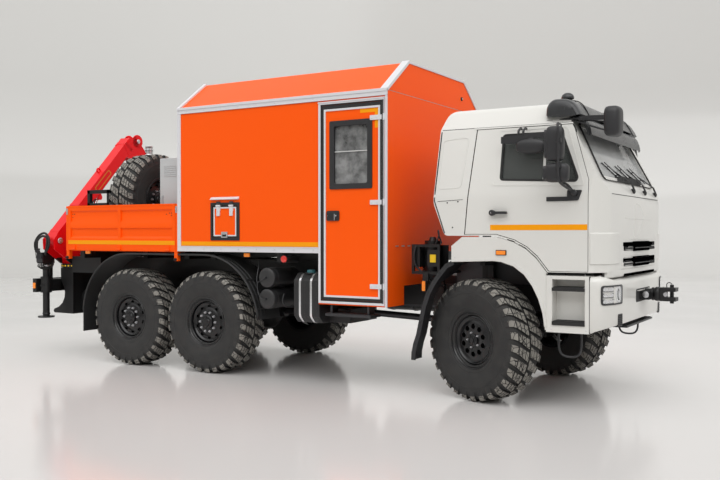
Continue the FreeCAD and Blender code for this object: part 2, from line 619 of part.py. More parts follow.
def make_cab():
    """The cab shell, its doors with their glass, the windshield and the rear pane."""
    out, far = BODY_HALF_W + 60, BODY_HALF_W - 250
    inner = cab_block(CAB_WALL)
    shell = cab_block(0).cut(inner)
    screen = cross_prism(WINDSHIELD, CAB_FRONT_X - 570, CAB_FRONT_X + 100)
    half, z0, z1 = REAR_PANE
    rear_pane = box(CAB_REAR_X - 100, CAB_REAR_X + 160, -half, half, z0, z1)
    within = cross_prism(cab_cross_outline(CAB_WALL), CAB_REAR_X - 100, CAB_FRONT_X + 100)
    openings = [side_prism(door_outline(0), *sorted((s * out, s * far))).cut(within) for s in (1, -1)]
    body = shell.cut(openings).cut(screen).cut(rear_pane)
    for z in (1440, 1600):
        body = body.cut(box(CAB_FRONT_X - 30, CAB_FRONT_X + 10, -700, 700, z, z + 40))
    write("cab_shell", body)

    panes = cab_block(PANE_DEPTH).cut(cab_block(PANE_DEPTH + PANE_T))
    write("cab_glass", panes.common(screen), panes.common(rear_pane))
    for name, side in (("left", 1), ("right", -1)):
        span = sorted((side * far, side * out))
        window = side_prism(DOOR_WINDOW, *span)
        door = cab_block(0).common(side_prism(door_outline(RUN), *span)).cut(within).cut(window)
        x = DOOR_REAR_X + 265
        y = side * (CAB_HALF_W + 18)
        grip = [rod((x, y, 1935), (x + 180, y, 1935), 12)]
        grip += [box(lx - 10, lx + 10, *sorted((side * (CAB_HALF_W - 4), y)), 1925, 1945)
                 for lx in (x + 15, x + 165)]
        write("cab_door_" + name, fuse([door] + grip))
        write("door_glass_" + name, panes.common(window))


WHEEL_X = FRONT_AXLE_X + 640    # centre of the steering wheel
WHEEL_Y = 620
WHEEL_Z = 2252


def make_cab_inside():
    """Seats, dashboard and steering wheel, seen through the glass."""
    floor = CAB_SHELF_Z + CAB_WALL
    x = FRONT_AXLE_X - 160
    seats = []
    for y, half in ((620, 260), (-620, 260), (0, 200)):
        base = box(x + 70, x + 450, y - half + 40, y + half - 40, floor + FIT, floor + 230)
        cushion = box(x, x + 500, y - half, y + half, floor + 230, floor + 360)
        back = side_prism([(x - 50, floor + 380), (x + 70, floor + 360), (x, floor + 930), (x - 110, floor + 930)],
                          y - half, y + half)
        seats.append(fuse([base, cushion, back]))
    write("seats", *seats)
    x = CAB_FRONT_X
    wide = BODY_HALF_W + 50
    panel = side_prism([(x - 470, 1850), (x + 30, 1850), (x + 30, 2205), (x - 410, 2190), (x - 490, 2080)],
                       -wide, wide)
    legs = [box(x - 410, x - 230, y - 30, y + 30, CAB_LOW_Z, 1860) for y in (-600, 600)]
    panel = fuse([panel] + legs).common(cab_block(CAB_WALL + FIT))
    centre = (WHEEL_X, WHEEL_Y, WHEEL_Z)
    column = rod((WHEEL_X + 290, WHEEL_Y, WHEEL_Z - 242), centre, 28)
    ring = Part.makeTorus(225, 16, V(*centre), V(-0.775, 0, 0.65))
    spoke = rod((WHEEL_X, WHEEL_Y - 218, WHEEL_Z), (WHEEL_X, WHEEL_Y + 218, WHEEL_Z), 12)
    write("dashboard", fuse([panel, column, ring, spoke]))


def make_roof_trim():
    """Air deflector and sun visor above the windshield, and the mirror that looks down at the bumper."""
    x = CAB_FRONT_X - 410       # top of the windshield
    half = BODY_HALF_W - 200
    top = CAB_TOP_Z
    deflector = side_prism([(x - 254, top - 163), (x - 240, top - 40), (x - 182, top + 18), (x + 21, top - 9),
                            (x + 60, top - 60), (x + 129, top - 183)], -half, half)
    hollow = side_prism([(x - 232, top - 163), (x - 218, top - 48), (x - 173, top - 2), (x + 12, top - 27),
                         (x + 40, top - 68), (x + 110, top - 200)], -half + 20, half - 20)
    pieces = [deflector.cut(hollow)]
    pieces.append(side_prism([(x + 30, top - 168), (x + 40, top - 145), (x + 140, top - 205), (x + 150, top - 250),
                              (x + 135, top - 254), (x + 120, top - 220)], -half - 30, half - 75))
    for y in (-half + 60, 0, half - 100):
        pieces.append(box(x - 160, x - 120, y - 20, y + 20, top - 40, top + 5))
        pieces.append(box(x + 22, x + 50, y - 20, y + 20, top - 200, top - 145))
    arm_x, arm_y = CAB_FRONT_X - 20, -(half + 60)
    pieces.append(rod((x + 20, -half + 15, top - 50), (arm_x, arm_y, top - 75), 14))
    pieces.append(rod((arm_x, arm_y, top - 61), (arm_x, arm_y, top - 375), 14))
    pieces.append(box(arm_x - 45, arm_x + 90, arm_y - 105, arm_y + 100, top - 380, top - 100))
    write("roof_trim", fuse(pieces).cut(cab_block(-FIT)))


def make_mirrors():
    """Mirrors on the doors: two heads on a mast each side, and a kerb mirror over the right window."""
    grown = cab_block(-FIT)
    for name, side in (("left", 1), ("right", -1)):
        mast_x, mast_y = FRONT_AXLE_X + 830, side * (BODY_HALF_W + 125)
        across = sorted((side * (BODY_HALF_W + 130), side * (BODY_HALF_W + 250)))
        pieces = [box(mast_x - 80, mast_x + 70, *across, 2415, 2730),
                  box(mast_x - 85, mast_x + 115, *across, 2215, 2400),
                  rod((mast_x, mast_y, 2180), (mast_x, mast_y, 2745), 14),
                  box(mast_x + 50, mast_x + 190, *sorted((side * (BODY_HALF_W - 35), side * (BODY_HALF_W + 12))),
                      2070, 2150),
                  rod((mast_x + 120, side * BODY_HALF_W, 2115), (mast_x, mast_y, 2195), 15),
                  rod((mast_x, mast_y, 2735), (mast_x - 80, side * (CAB_ROOF_HALF_W - 30), 2762), 13)]
        solids_out = [fuse(pieces)]
        if side < 0:
            x = FRONT_AXLE_X + 400
            head = box(x - 130, x + 140, -(BODY_HALF_W + 120), -(BODY_HALF_W - 60), 2680, 2790)
            prop = rod((x, -(CAB_ROOF_HALF_W - 20), 2740), (x, -(BODY_HALF_W - 50), 2740), 16)
            solids_out.append(fuse([head, prop]))
        write("mirror_" + name, *[piece.cut(grown) for piece in solids_out])


# ---------------------------------------------------------------- van
def van_cross_outline(inset):
    """Roof outline above the eaves, drawn in by inset."""
    i = inset
    half = [(BODY_HALF_W - i, VAN_EAVE_Z), (VAN_RIDGE_HALF_W - 0.4 * i, VAN_RIDGE_Z - i)]
    return half + [(-y, z) for y, z in reversed(half)]


def make_van():
    """The van: a box with a stair well at its door, a hipped roof, a door and a hatch."""
    w = VAN_WALL
    x0, x1 = VAN_REAR_X, VAN_FRONT_X
    h = BODY_HALF_W
    well_x0 = VAN_DOOR_X0 - 40
    outer = fuse([box(x0, x1, -h, h, VAN_FLOOR_Z, VAN_EAVE_Z),
                  box(well_x0, x1, -h, -WELL_INNER_Y, WELL_LOW_Z, VAN_FLOOR_Z + 1),
                  box(well_x0, x1, -WELL_INNER_Y - 1, -WELL_FAR_Y, WELL_MID_Z + 60, VAN_FLOOR_Z + 1)])
    floor = VAN_FLOOR_Z + VAN_FLOOR_T
    inner = fuse([box(x0 + w, x1 - w, -h + w, h - w, floor, VAN_EAVE_Z + 10),
                  box(well_x0 + w, x1 - w, -h + w, -WELL_INNER_Y - w / 2, WELL_LOW_Z + w, floor + 1),
                  box(well_x0 + w, x1 - w, -WELL_INNER_Y - w / 2 - 1, -WELL_FAR_Y - w, WELL_MID_Z + 60 + w,
                      floor + 1)])
    opening = box(VAN_DOOR_X0, VAN_DOOR_X1, -h - 20, -h + w + 5, WELL_LOW_Z + 50, VAN_DOOR_TOP_Z)
    hx0, hx1, hz0, hz1 = HATCH
    hatch = box(hx0, hx1, -h - 20, -h + w + 5, hz0, hz1)
    step_z = WELL_LOW_Z - 130
    tread = box(1790, 2380, -h + 10, -h + 240, step_z, step_z + 28)
    hangers = [box(x, x + 25, -h + 60, -h + 180, step_z + 28, WELL_LOW_Z + 1) for x in (1830, 2310)]
    plates = [box(x - 28, x + 28, -h - 14, -h + 1, hz1 + 3 + FIT, hz1 + 45) for x in (hx0 + 100, hx1 - 100)]
    write("van_body", fuse([outer.cut(inner).cut(opening).cut(hatch), tread] + hangers + plates))

    roof = cross_prism(van_cross_outline(0), x0, x1)
    hollow = cross_prism(van_cross_outline(w), x0 + w, x1 - w)
    roof = roof.cut(hollow).cut(box(x0 + w, x1 - w, -h + w, h - w, VAN_EAVE_Z - 10, VAN_EAVE_Z + 30))
    write("van_roof", roof)

    g = RUN
    leaf = box(VAN_DOOR_X0 + g, VAN_DOOR_X1 - g, -h, -h + w - 5, WELL_LOW_Z + 50 + g, VAN_DOOR_TOP_Z - g)
    wx0, wx1, wz0, wz1 = VAN_WINDOW
    leaf = leaf.cut(box(wx0, wx1, -h - 20, -h + w + 20, wz0, wz1))
    barrels = []
    for z in (1151, 2066, 2985):
        barrels.append(box(VAN_DOOR_X1 - 150, VAN_DOOR_X1 + 6, -h - 8, -h, z - 22, z + 22))
        barrels.append(rod((VAN_DOOR_X1 + 15, -h - 12, z - 34), (VAN_DOOR_X1 + 15, -h - 12, z + 34), 11))
    write("van_door", fuse([leaf] + barrels))
    write("van_door_glass", box(wx0, wx1, -h + 20, -h + 28, wz0, wz1))

    lid = box(hx0 + g, hx1 - g, -h, -h + w - 15, hz0 + g, hz1 - g)
    hinges = []
    for x in (hx0 + 100, hx1 - 100):
        hinges.append(rod((x - 30, -h - 12, hz1 - 8), (x + 30, -h - 12, hz1 - 8), 11))
        hinges.append(box(x - 28, x + 28, -h - 12, -h, hz1 - 70, hz1 - 8))
    write("hatch_lid", fuse([lid] + hinges))


# ---------------------------------------------------------------- bed and its load
HINGE_Y = BODY_HALF_W + 15
HINGE_Z = BED_FLOOR_Z + 25
SPARE_X = -1600
SPARE_Y = -490
SPARE_Z = 2200


def make_bed():
    """Bed floor with end boards and corner posts, and two sides that fold down."""
    x0, x1 = BED_REAR_X, VAN_REAR_X - BED_GAP_X
    h = BODY_HALF_W
    floor = box(x0, x1, -h + BED_SIDE_T + RUN, h - BED_SIDE_T - RUN, BED_FLOOR_Z + FIT, BED_FLOOR_Z + BED_FLOOR_T)
    boards = []
    for bx in (x0, x1 - 35):
        boards.append(box(bx, bx + 35, -h, h, BED_FLOOR_Z + FIT, BED_TOP_Z))
    stubs = [box(x, x + 55, *sorted((s * (h - 60), s * (h - 5))), BED_FLOOR_Z - 110, BED_FLOOR_Z + 10)
             for x in (x0, x1 - 60) for s in (1, -1)]
    write("bed", fuse([floor] + boards + stubs))
    sx0, sx1 = x0 + 35 + RUN, x1 - 35 - RUN
    for name, side in (("left", 1), ("right", -1)):
        y0, y1 = sorted((side * (h - BED_SIDE_T), side * (h - 6)))
        panel = box(sx0, sx1, y0, y1, BED_FLOOR_Z + 10, BED_TOP_Z)
        yo0, yo1 = sorted((side * (h - 7), side * h))
        frame = [box(sx0, sx1, yo0, yo1, BED_TOP_Z - 50, BED_TOP_Z),
                 box(sx0, sx1, yo0, yo1, BED_FLOOR_Z + 10, BED_FLOOR_Z + 150)]
        mid = (sx0 + sx1) / 2
        for x in (sx0, mid - 25, sx1 - 50):
            frame.append(box(x, x + 50, yo0, yo1, BED_FLOOR_Z + 10, BED_TOP_Z))
        knuckles = []
        for x in (x0 + 160, mid, x1 - 160):
            knuckles.append(rod((x - 35, side * HINGE_Y, HINGE_Z), (x + 35, side * HINGE_Y, HINGE_Z), 11))
            ya, yb = sorted((side * (h - 1), side * (HINGE_Y + 4)))
            knuckles.append(box(x - 30, x + 30, ya, yb, HINGE_Z, HINGE_Z + 60))
        write("bed_side_" + name, fuse([panel] + frame + knuckles))


def make_load():
    """Spare wheel upright across the bed on its carrier with a lamp post, and the cabinet."""
    z = BED_FLOOR_Z + BED_FLOOR_T
    centre = (SPARE_X, SPARE_Y, SPARE_Z)
    turn = lambda shape: shape.rotated(V(*centre), Z_AXIS, 90)
    write("spare_tyre", turn(tyre(centre, -1)))
    back_x = SPARE_X - TYRE_W / 2 - 30
    plate = rod((SPARE_X + 36, SPARE_Y, SPARE_Z), (SPARE_X, SPARE_Y, SPARE_Z), 140)
    arm = rod((SPARE_X + 10, SPARE_Y, SPARE_Z), (back_x - 20, SPARE_Y, SPARE_Z), 60)
    pieces = [turn(rim(centre, -1, 40)), plate, arm]
    pieces.append(box(back_x - 60, back_x, SPARE_Y - 90, SPARE_Y + 90, z + FIT, SPARE_Z + 100))
    pieces.append(box(back_x - 60, back_x, SPARE_Y - 560, SPARE_Y + 260, z + FIT, z + 60))
    post_y = SPARE_Y + 220
    pieces.append(rod((back_x - 30, post_y, z + 30), (back_x - 30, post_y, SPARE_Z + 660), 16))
    pieces.append(rod((back_x - 30, post_y, SPARE_Z + 640), (back_x - 30, post_y, SPARE_Z + 780), 55))
    frame_y, x0 = SPARE_Y - 560, back_x - 430
    for x in (x0, back_x - 50):
        pieces.append(box(x, x + 50, frame_y, frame_y + 50, z + FIT, z + 760))
    for bar_z in (z + 710, z + 530, z + FIT):
        pieces.append(box(x0, back_x, frame_y, frame_y + 50, bar_z, bar_z + 50))
    write("spare_rim", fuse(pieces))
    write("cabinet", box(-880, VAN_REAR_X - BED_GAP_X - 60, -1080, 300, z + FIT, 2700))


# ---------------------------------------------------------------- crane
def along(y0, z0, y1, z1, half_x, half_h, x=CRANE_X, offset=0):
    """A square beam in the crane's plane from one (y, z) point to another, set off square to it."""
    length = math.hypot(y1 - y0, z1 - z0)
    uy, uz = (y1 - y0) / length, (z1 - z0) / length
    ny, nz = -uz, uy
    corners = []
    for s, n in ((0, -half_h), (length, -half_h), (length, half_h), (0, half_h)):
        corners.append((y0 + uy * s + ny * (n + offset), z0 + uz * s + nz * (n + offset)))
    return cross_prism(corners, x - half_x, x + half_x)


def pin(y, z, radius, half_x):
    """A cross pin of the crane."""
    return rod((CRANE_X - half_x, y, z), (CRANE_X + half_x, y, z), radius)


BOOM_ANGLE = math.radians(47)
BOOM_L = 2090               # from the foot pin to the end of the main boom's box
LIFT_LOW = (-690, 1430)     # pin of the lifting cylinder on the column
LIFT_REACH = 1020           # from the boom's foot along the boom to the cylinder's eye
LIFT_DROP = 150             # from the boom's centre line down to that eye
LIFT_BARREL = 0.62          # share of the cylinder that is barrel
EYE_PIN_R = 16
EYE_BORE_R = 33             # wide enough for the cylinder's swing and stroke to stay in step with the boom
EYE_R = 46


def lift_eye():
    """The eye on the main boom that the lifting cylinder pushes."""
    c, s = math.cos(BOOM_ANGLE), math.sin(BOOM_ANGLE)
    return (FOOT_Y + LIFT_REACH * c + LIFT_DROP * s, FOOT_Z + LIFT_REACH * s - LIFT_DROP * c)


def make_crane_base():
    """Pedestal on the chassis, beam with the leg collars, and the slewing ring."""
    low = RAIL_Z0 - 330
    pedestal = box(CRANE_X - 130, CRANE_X + 130, SLEW_Y - 110, SLEW_Y + 110, low, SLEW_Z - 60)
    foot = box(CRANE_X - 130, CRANE_X + 130, SLEW_Y + 100, RAIL_Y + 60, RAIL_Z0 - 130, RAIL_Z0 - FIT)
    side = box(CRANE_X - 130, CRANE_X + 130, SLEW_Y + 100, -RAIL_Y - FIT, RAIL_Z0 - 130, RAIL_Z0 + 280)
    ring = rod((CRANE_X, SLEW_Y, SLEW_Z - 62), (CRANE_X, SLEW_Y, SLEW_Z), 150)
    beam = box(LEG_X - 65, LEG_X + 65, -LEG_Y, LEG_Y, BEAM_Z0, BEAM_Z0 + BEAM_H)
    rails = box(LEG_X - 70, LEG_X + 70, -RAIL_Y - FIT, RAIL_Y + FIT, RAIL_Z0 - 1, RAIL_Z0 + RAIL_H + 1)
    beam = beam.cut(rails)
    ties = [box(LEG_X - 65, CRANE_X - 100, SLEW_Y - 60, SLEW_Y + 60, BEAM_Z0, BEAM_Z0 + BEAM_H),
            box(LEG_X - 65, LEG_X + 65, -RAIL_Y - 60, RAIL_Y + 60, RAIL_Z0 - 90, RAIL_Z0 - FIT),
            box(LEG_X - 65, LEG_X + 65, RAIL_Y + FIT, RAIL_Y + 60, RAIL_Z0 - 90, BEAM_Z0 + 20),
            box(LEG_X - 65, LEG_X + 65, -RAIL_Y - 60, -RAIL_Y - FIT, RAIL_Z0 - 90, BEAM_Z0 + 20),
            box(LEG_X - 65, CRANE_X + 130, -60, 60, RAIL_Z0 - 90, RAIL_Z0 - FIT)]
    collars = [rod((LEG_X, s * LEG_Y, BEAM_Z0 - 20), (LEG_X, s * LEG_Y, BEAM_Z0 + BEAM_H + 20), LEG_R + 24)
               for s in (1, -1)]
    base = fuse([pedestal, foot, side, ring, beam] + ties + collars)
    for s in (1, -1):
        base = base.cut(rod((LEG_X, s * LEG_Y, BEAM_Z0 - 60), (LEG_X, s * LEG_Y, BEAM_Z0 + BEAM_H + 60),
                            LEG_R + 1))
    for name, s in (("left", 1), ("right", -1)):
        tube = rod((LEG_X, s * LEG_Y, LEG_FOOT_Z), (LEG_X, s * LEG_Y, LEG_TOP_Z), LEG_R)
        foot = rod((LEG_X, s * LEG_Y, LEG_FOOT_Z - 22), (LEG_X, s * LEG_Y, LEG_FOOT_Z), 115)
        write("stabiliser_leg_" + name, fuse([tube, foot]))
    y = -LEG_Y + LEG_R + 12
    stand = box(LEG_X - 20, LEG_X + 20, y, y + 40, BEAM_Z0 + BEAM_H - 1, 1310)
    valve = box(LEG_X - 60, LEG_X + 60, -LEG_Y - 110, y + 40, 1300, 1455)
    valve = valve.cut(rod((LEG_X, -LEG_Y, 1000), (LEG_X, -LEG_Y, 1600), LEG_R + 8))
    write("crane_base", fuse([base, stand, valve]))


def make_crane():
    """Column, main boom, outer boom with its extension, and the lifting cylinder."""
    cheeks = []
    outline = [(SLEW_Y - 120, SLEW_Z + FIT), (SLEW_Y + 200, SLEW_Z + FIT), (LIFT_LOW[0] + 70, LIFT_LOW[1] + 10),
               (LIFT_LOW[0] + 20, LIFT_LOW[1] + 60), (FOOT_Y + 170, FOOT_Z - 60), (FOOT_Y + 80, FOOT_Z + 75),
               (FOOT_Y - 40, FOOT_Z + 85), (FOOT_Y - 95, FOOT_Z + 20), (FOOT_Y - 85, FOOT_Z - 120)]
    for s in (1, -1):
        xs = sorted((CRANE_X + s * (BOOM_W / 2 + RUN), CRANE_X + s * (BOOM_W / 2 + RUN + 22)))
        cheeks.append(cross_prism(outline, *xs))
    half = BOOM_W / 2 + RUN + 1
    deck = box(CRANE_X - half, CRANE_X + half, SLEW_Y - 110, SLEW_Y + 110, SLEW_Z + FIT, SLEW_Z + 60)
    spine = box(CRANE_X - half, CRANE_X + half, SLEW_Y - 118, SLEW_Y - 70, SLEW_Z + 50, SLEW_Z + 150)
    pins = [pin(FOOT_Y, FOOT_Z, 34, BOOM_W / 2 + 40), pin(LIFT_LOW[0], LIFT_LOW[1], 24, BOOM_W / 2 + 36)]
    write("crane_column", fuse(cheeks + [deck, spine] + pins))

    c, s = math.cos(BOOM_ANGLE), math.sin(BOOM_ANGLE)
    end_y, end_z = FOOT_Y + BOOM_L * c, FOOT_Z + BOOM_L * s
    beam = along(FOOT_Y, FOOT_Z, end_y, end_z, BOOM_W / 2, BOOM_H / 2)
    root = pin(FOOT_Y, FOOT_Z, BOOM_H / 2, BOOM_W / 2)
    plates = []
    half = BOOM_H / 2
    tail = [(end_y - 60 * c - half * s, end_z - 60 * s + half * c), (end_y - half * s, end_z + half * c),
            (KNUCKLE_Y, KNUCKLE_Z + 50), (KNUCKLE_Y + 45, KNUCKLE_Z + 30), (KNUCKLE_Y + 60, KNUCKLE_Z - 40),
            (KNUCKLE_Y + 45, KNUCKLE_Z - 190), (KNUCKLE_Y - 60, KNUCKLE_Z - 300),
            (end_y + half * s - 260 * c, end_z - half * c - 260 * s)]
    for side in (1, -1):
        xs = sorted((CRANE_X + side * (OUTER_W / 2 + RUN), CRANE_X + side * BOOM_W / 2))
        plates.append(cross_prism(tail, *xs))
    ey, ez = lift_eye()
    lugs = []
    for side in (1, -1):
        xs = sorted((CRANE_X + side * 42, CRANE_X + side * 62))
        lugs.append(cross_prism([(ey - 45 * c, ez - 45 * s), (ey + 45 * c, ez + 45 * s),
                                 (ey + 60 * c - 90 * s, ez + 60 * s + 90 * c),
                                 (ey - 60 * c - 90 * s, ez - 60 * s + 90 * c)], *xs))
        lugs.append(rod((xs[0], ey, ez), (xs[1], ey, ez), 40))
    eye_pin = pin(ey, ez, EYE_PIN_R, 62)
    joint = pin(KNUCKLE_Y, KNUCKLE_Z, 28, BOOM_W / 2 + 16)
    boom = fuse([beam, root] + plates + lugs + [eye_pin, joint])
    write("main_boom", boom.cut(pin(FOOT_Y, FOOT_Z, 35, BOOM_W)))

    top = KNUCKLE_Z - 10
    arm = cross_prism([(KNUCKLE_Y - 38, KNUCKLE_Z + 34), (KNUCKLE_Y + 38, KNUCKLE_Z + 38),
                       (OUTER_Y + OUTER_H / 2, top - 180), (OUTER_Y + OUTER_H / 2, top - 340),
                       (OUTER_Y - OUTER_H / 2, top - 340), (OUTER_Y - OUTER_H / 2, top - 260),
                       (KNUCKLE_Y - 38, KNUCKLE_Z - 40)], CRANE_X - OUTER_W / 2, CRANE_X + OUTER_W / 2)
    case = box(CRANE_X - OUTER_W / 2, CRANE_X + OUTER_W / 2, OUTER_Y - OUTER_H / 2, OUTER_Y + OUTER_H / 2,
               OUTER_LOW_Z, top - 300)
    bore = box(CRANE_X - OUTER_W / 2 + 10, CRANE_X + OUTER_W / 2 - 10, OUTER_Y - OUTER_H / 2 + 10,
               OUTER_Y + OUTER_H / 2 - 10, OUTER_LOW_Z - 1, top - 380)
    outer = fuse([arm, case]).cut(bore).cut(pin(KNUCKLE_Y, KNUCKLE_Z, 29, BOOM_W))
    write("outer_boom", outer)
    slide = box(CRANE_X - OUTER_W / 2 + 10 + FIT, CRANE_X + OUTER_W / 2 - 10 - FIT,
                OUTER_Y - OUTER_H / 2 + 10 + FIT, OUTER_Y + OUTER_H / 2 - 10 - FIT, EXTENSION_LOW_Z, top - 390)
    head = box(CRANE_X - 30, CRANE_X + 30, OUTER_Y - 60, OUTER_Y + 60, EXTENSION_LOW_Z - 90, EXTENSION_LOW_Z + 1)
    hook = Part.makeTorus(38, 11, V(CRANE_X, OUTER_Y, EXTENSION_LOW_Z - 128), X_AXIS)
    write("boom_extension", fuse([slide, head, hook]))

    way_y, way_z = ey - LIFT_LOW[0], ez - LIFT_LOW[1]
    span = math.hypot(way_y, way_z)
    uy, uz = way_y / span, way_z / span
    mid = (LIFT_LOW[0] + way_y * LIFT_BARREL, LIFT_LOW[1] + way_z * LIFT_BARREL)
    low_eye = pin(LIFT_LOW[0], LIFT_LOW[1], 42, 36)
    barrel = rod((CRANE_X, LIFT_LOW[0] + 30 * uy, LIFT_LOW[1] + 30 * uz), (CRANE_X, mid[0], mid[1]), 46)
    bore = rod((CRANE_X, LIFT_LOW[0] + 70 * uy, LIFT_LOW[1] + 70 * uz), (CRANE_X, mid[0] + uy, mid[1] + uz), 26 + FIT)
    write("lift_barrel", fuse([low_eye, barrel]).cut(bore).cut(pin(LIFT_LOW[0], LIFT_LOW[1], 25, 60)))
    piston = rod((CRANE_X, LIFT_LOW[0] + 165 * uy, LIFT_LOW[1] + 165 * uz), (CRANE_X, ey - 30 * uy, ez - 30 * uz), 26)
    high_eye = pin(ey, ez, EYE_R, 36)
    write("lift_rod", fuse([piston, high_eye]).cut(pin(ey, ez, EYE_BORE_R, 60)))


def make_rear_bumper():
    """Cross bar with the rear lamps, held by the ends of the rails."""
    half = BODY_HALF_W - 95
    bar = box(REAR_TIP_X, REAR_TIP_X + 75, -half, half, 885, 1080)
    arms = [box(REAR_TIP_X + 70, RAIL_REAR_X - FIT, *sorted((s * (RAIL_Y - RAIL_W), s * RAIL_Y)), 930, 1060)
            for s in (1, -1)]
    write("rear_bumper", fuse([bar] + arms))


def main():
    os.makedirs("parts", exist_ok=True)
    make_wheels()
    make_axles()
    make_knuckles()
    make_tie_rod()
    make_frame()
    make_springs()
    make_drive_line()
    make_tanks()
    make_side_rack()
    make_front_end()
    make_rear_fenders()
    make_rear_bumper()
    make_cab()
    make_cab_inside()
    make_roof_trim()
    make_mirrors()
    make_van()
    make_bed()
    make_load()
    make_crane_base()
    make_crane()


main()
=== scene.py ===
"""Off-road repair truck with a crane: trim, finishes and studio, built around its frame."""

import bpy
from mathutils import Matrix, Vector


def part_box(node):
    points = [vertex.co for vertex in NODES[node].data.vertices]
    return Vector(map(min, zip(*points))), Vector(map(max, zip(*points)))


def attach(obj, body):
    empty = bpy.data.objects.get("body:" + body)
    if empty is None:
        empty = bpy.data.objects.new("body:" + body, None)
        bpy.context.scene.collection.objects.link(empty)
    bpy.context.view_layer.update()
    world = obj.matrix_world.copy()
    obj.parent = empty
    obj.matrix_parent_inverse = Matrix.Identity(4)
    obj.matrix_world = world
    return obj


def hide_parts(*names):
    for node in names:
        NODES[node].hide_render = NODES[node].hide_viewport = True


bl_info = {
    "name": "Repair Truck Finish",
    "version": (1, 0, 0),
    "blender": (4, 5, 0),
    "location": "View3D > Sidebar > Truck",
    "description": "Builds the tyres, trim, paint and studio of a repair truck around its frame",
    "category": "Object",
}

from math import ceil, copysign, cos, exp, hypot, pi, radians, sin

import bmesh
import bpy
from mathutils import Matrix, Vector
from mathutils.bvhtree import BVHTree

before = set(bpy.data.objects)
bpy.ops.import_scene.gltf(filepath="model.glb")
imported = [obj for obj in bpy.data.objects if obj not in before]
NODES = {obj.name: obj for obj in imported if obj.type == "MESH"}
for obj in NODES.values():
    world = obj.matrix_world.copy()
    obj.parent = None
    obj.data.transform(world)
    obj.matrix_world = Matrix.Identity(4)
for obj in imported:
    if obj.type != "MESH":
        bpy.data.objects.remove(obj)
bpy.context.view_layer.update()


def middle(node):
    """Centre of a frame node's box."""
    low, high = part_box(node)
    return (low + high) / 2


MX = middle("tyre_middle_right").x      # the middle axle; lengths along the truck start here
AXLE_X = 3.69                           # the front axle; the cab is drawn from it
BODY_Y = 1.25                           # half width of van, bed and cab
SIDES = (("left", 1), ("right", -1))
MATS = {}


# ------------------------------------------------------------------ finishes

def shade(colour, by):
    return tuple(min(1, c * by) for c in colour)


class Finish:
    """A material with a principled shader, and the nodes that vary it."""

    def __init__(self, name, colour, rough, **sockets):
        self.mat = MATS[name] = bpy.data.materials.new(name)
        self.mat.use_nodes = True
        self.mat.diffuse_color = (*colour, 1)
        self.tree = self.mat.node_tree
        self.bsdf = self.tree.nodes["Principled BSDF"]
        self.put(self.bsdf, {"Base Color": (*colour, 1), "Roughness": rough, "Coat Roughness": 0.06})
        self.put(self.bsdf, {key.replace("_", " "): value for key, value in sockets.items()})

    def put(self, node, inputs):
        """Links a node's inputs to sockets, or sets them."""
        for key, value in inputs.items():
            if isinstance(value, bpy.types.NodeSocket):
                self.tree.links.new(value, node.inputs[key])
            else:
                node.inputs[key].default_value = value
        return node

    def node(self, kind, result, inputs, **settings):
        """Adds a node and gives back one of its results."""
        node = self.tree.nodes.new("ShaderNode" + kind)
        for key, value in settings.items():
            setattr(node, key, value)
        return self.put(node, inputs).outputs[result]

    def place(self):
        return self.node("TexCoord", "Object", {})

    def noise(self, scale, detail=3.0, rough=0.55):
        """Noise in the object's own space."""
        return self.node("TexNoise", "Fac", {"Vector": self.place(), "Scale": scale, "Detail": detail,
                                             "Roughness": rough})

    def span(self, value, low, high, to_low, to_high):
        """Maps a value from low..high to to_low..to_high, held at the ends."""
        return self.node("MapRange", "Result", {"Value": value, "From Min": low, "From Max": high,
                                                "To Min": to_low, "To Max": to_high})

    def mix(self, factor, first, second):
        """Mixes two colours or colour sockets by a factor."""
        first, second = ((*c, 1) if isinstance(c, tuple) else c for c in (first, second))
        return self.node("Mix", "Result", {"Factor": factor, "A": first, "B": second}, data_type="RGBA")

    def relief(self, height, strength, depth):
        """Bump from a height."""
        self.put(self.bsdf, {"Normal": self.node(
            "Bump", "Normal", {"Strength": strength, "Distance": depth, "Height": height})})

    def look(self, colour=None, rough=None):
        """Drives the colour, the roughness or both."""
        self.put(self.bsdf, {key: value for key, value in (("Base Color", colour), ("Roughness", rough)) if value})

    def vary(self, value, first, second, rough_low, rough_high):
        """Lets colour and roughness drift with a value."""
        self.look(self.mix(self.span(value, 0.1, 0.9, 0, 1), first, second),
                  self.span(value, 0.1, 0.9, rough_low, rough_high))


def make_paint(name, colour, rough=0.28, coat=0.35, drift=0.05, shine=0.5):
    """Sprayed paint: faint orange peel, slow drift in colour and gloss."""
    skin = Finish(name, colour, rough, Coat_Weight=coat, Specular_IOR_Level=shine)
    skin.vary(skin.noise(0.7, 1), shade(colour, 1 - drift), shade(colour, 1 + drift), rough - 0.03, rough + 0.05)
    skin.relief(skin.noise(160, 1), 0.03, 0.0004)


def make_rubber(name, colour, dust, amount):
    """Tyre rubber: matt, with road dust that settles in patches."""
    skin = Finish(name, colour, 0.7)
    patches = skin.noise(9, 6, 0.65)
    skin.look(skin.mix(skin.span(patches, 0.38, 0.62, 0.15 * amount, amount), colour, dust),
              skin.span(patches, 0.3, 0.7, 0.6, 0.85))
    skin.relief(skin.noise(140, 4), 0.35, 0.0015)


def make_tread(name, colour, groove):
    """Worn tread: pale block faces parted by dark cuts, with road dust."""
    skin = Finish(name, colour, 0.75)
    edges = skin.node("TexVoronoi", "Distance", {"Vector": skin.place(), "Scale": 16, "Randomness": 0.85},
                      feature="DISTANCE_TO_EDGE")
    cut = skin.span(edges, 0.02, 0.055, 0, 1)
    dust = skin.span(skin.noise(12, 5, 0.65), 0.25, 0.75, 0.6, 1.0)
    pale = skin.node("Math", "Value", {0: cut, 1: dust}, operation="MULTIPLY")
    skin.look(skin.mix(pale, groove, colour), skin.span(cut, 0, 1, 0.9, 0.66))
    skin.relief(cut, 0.8, 0.004)


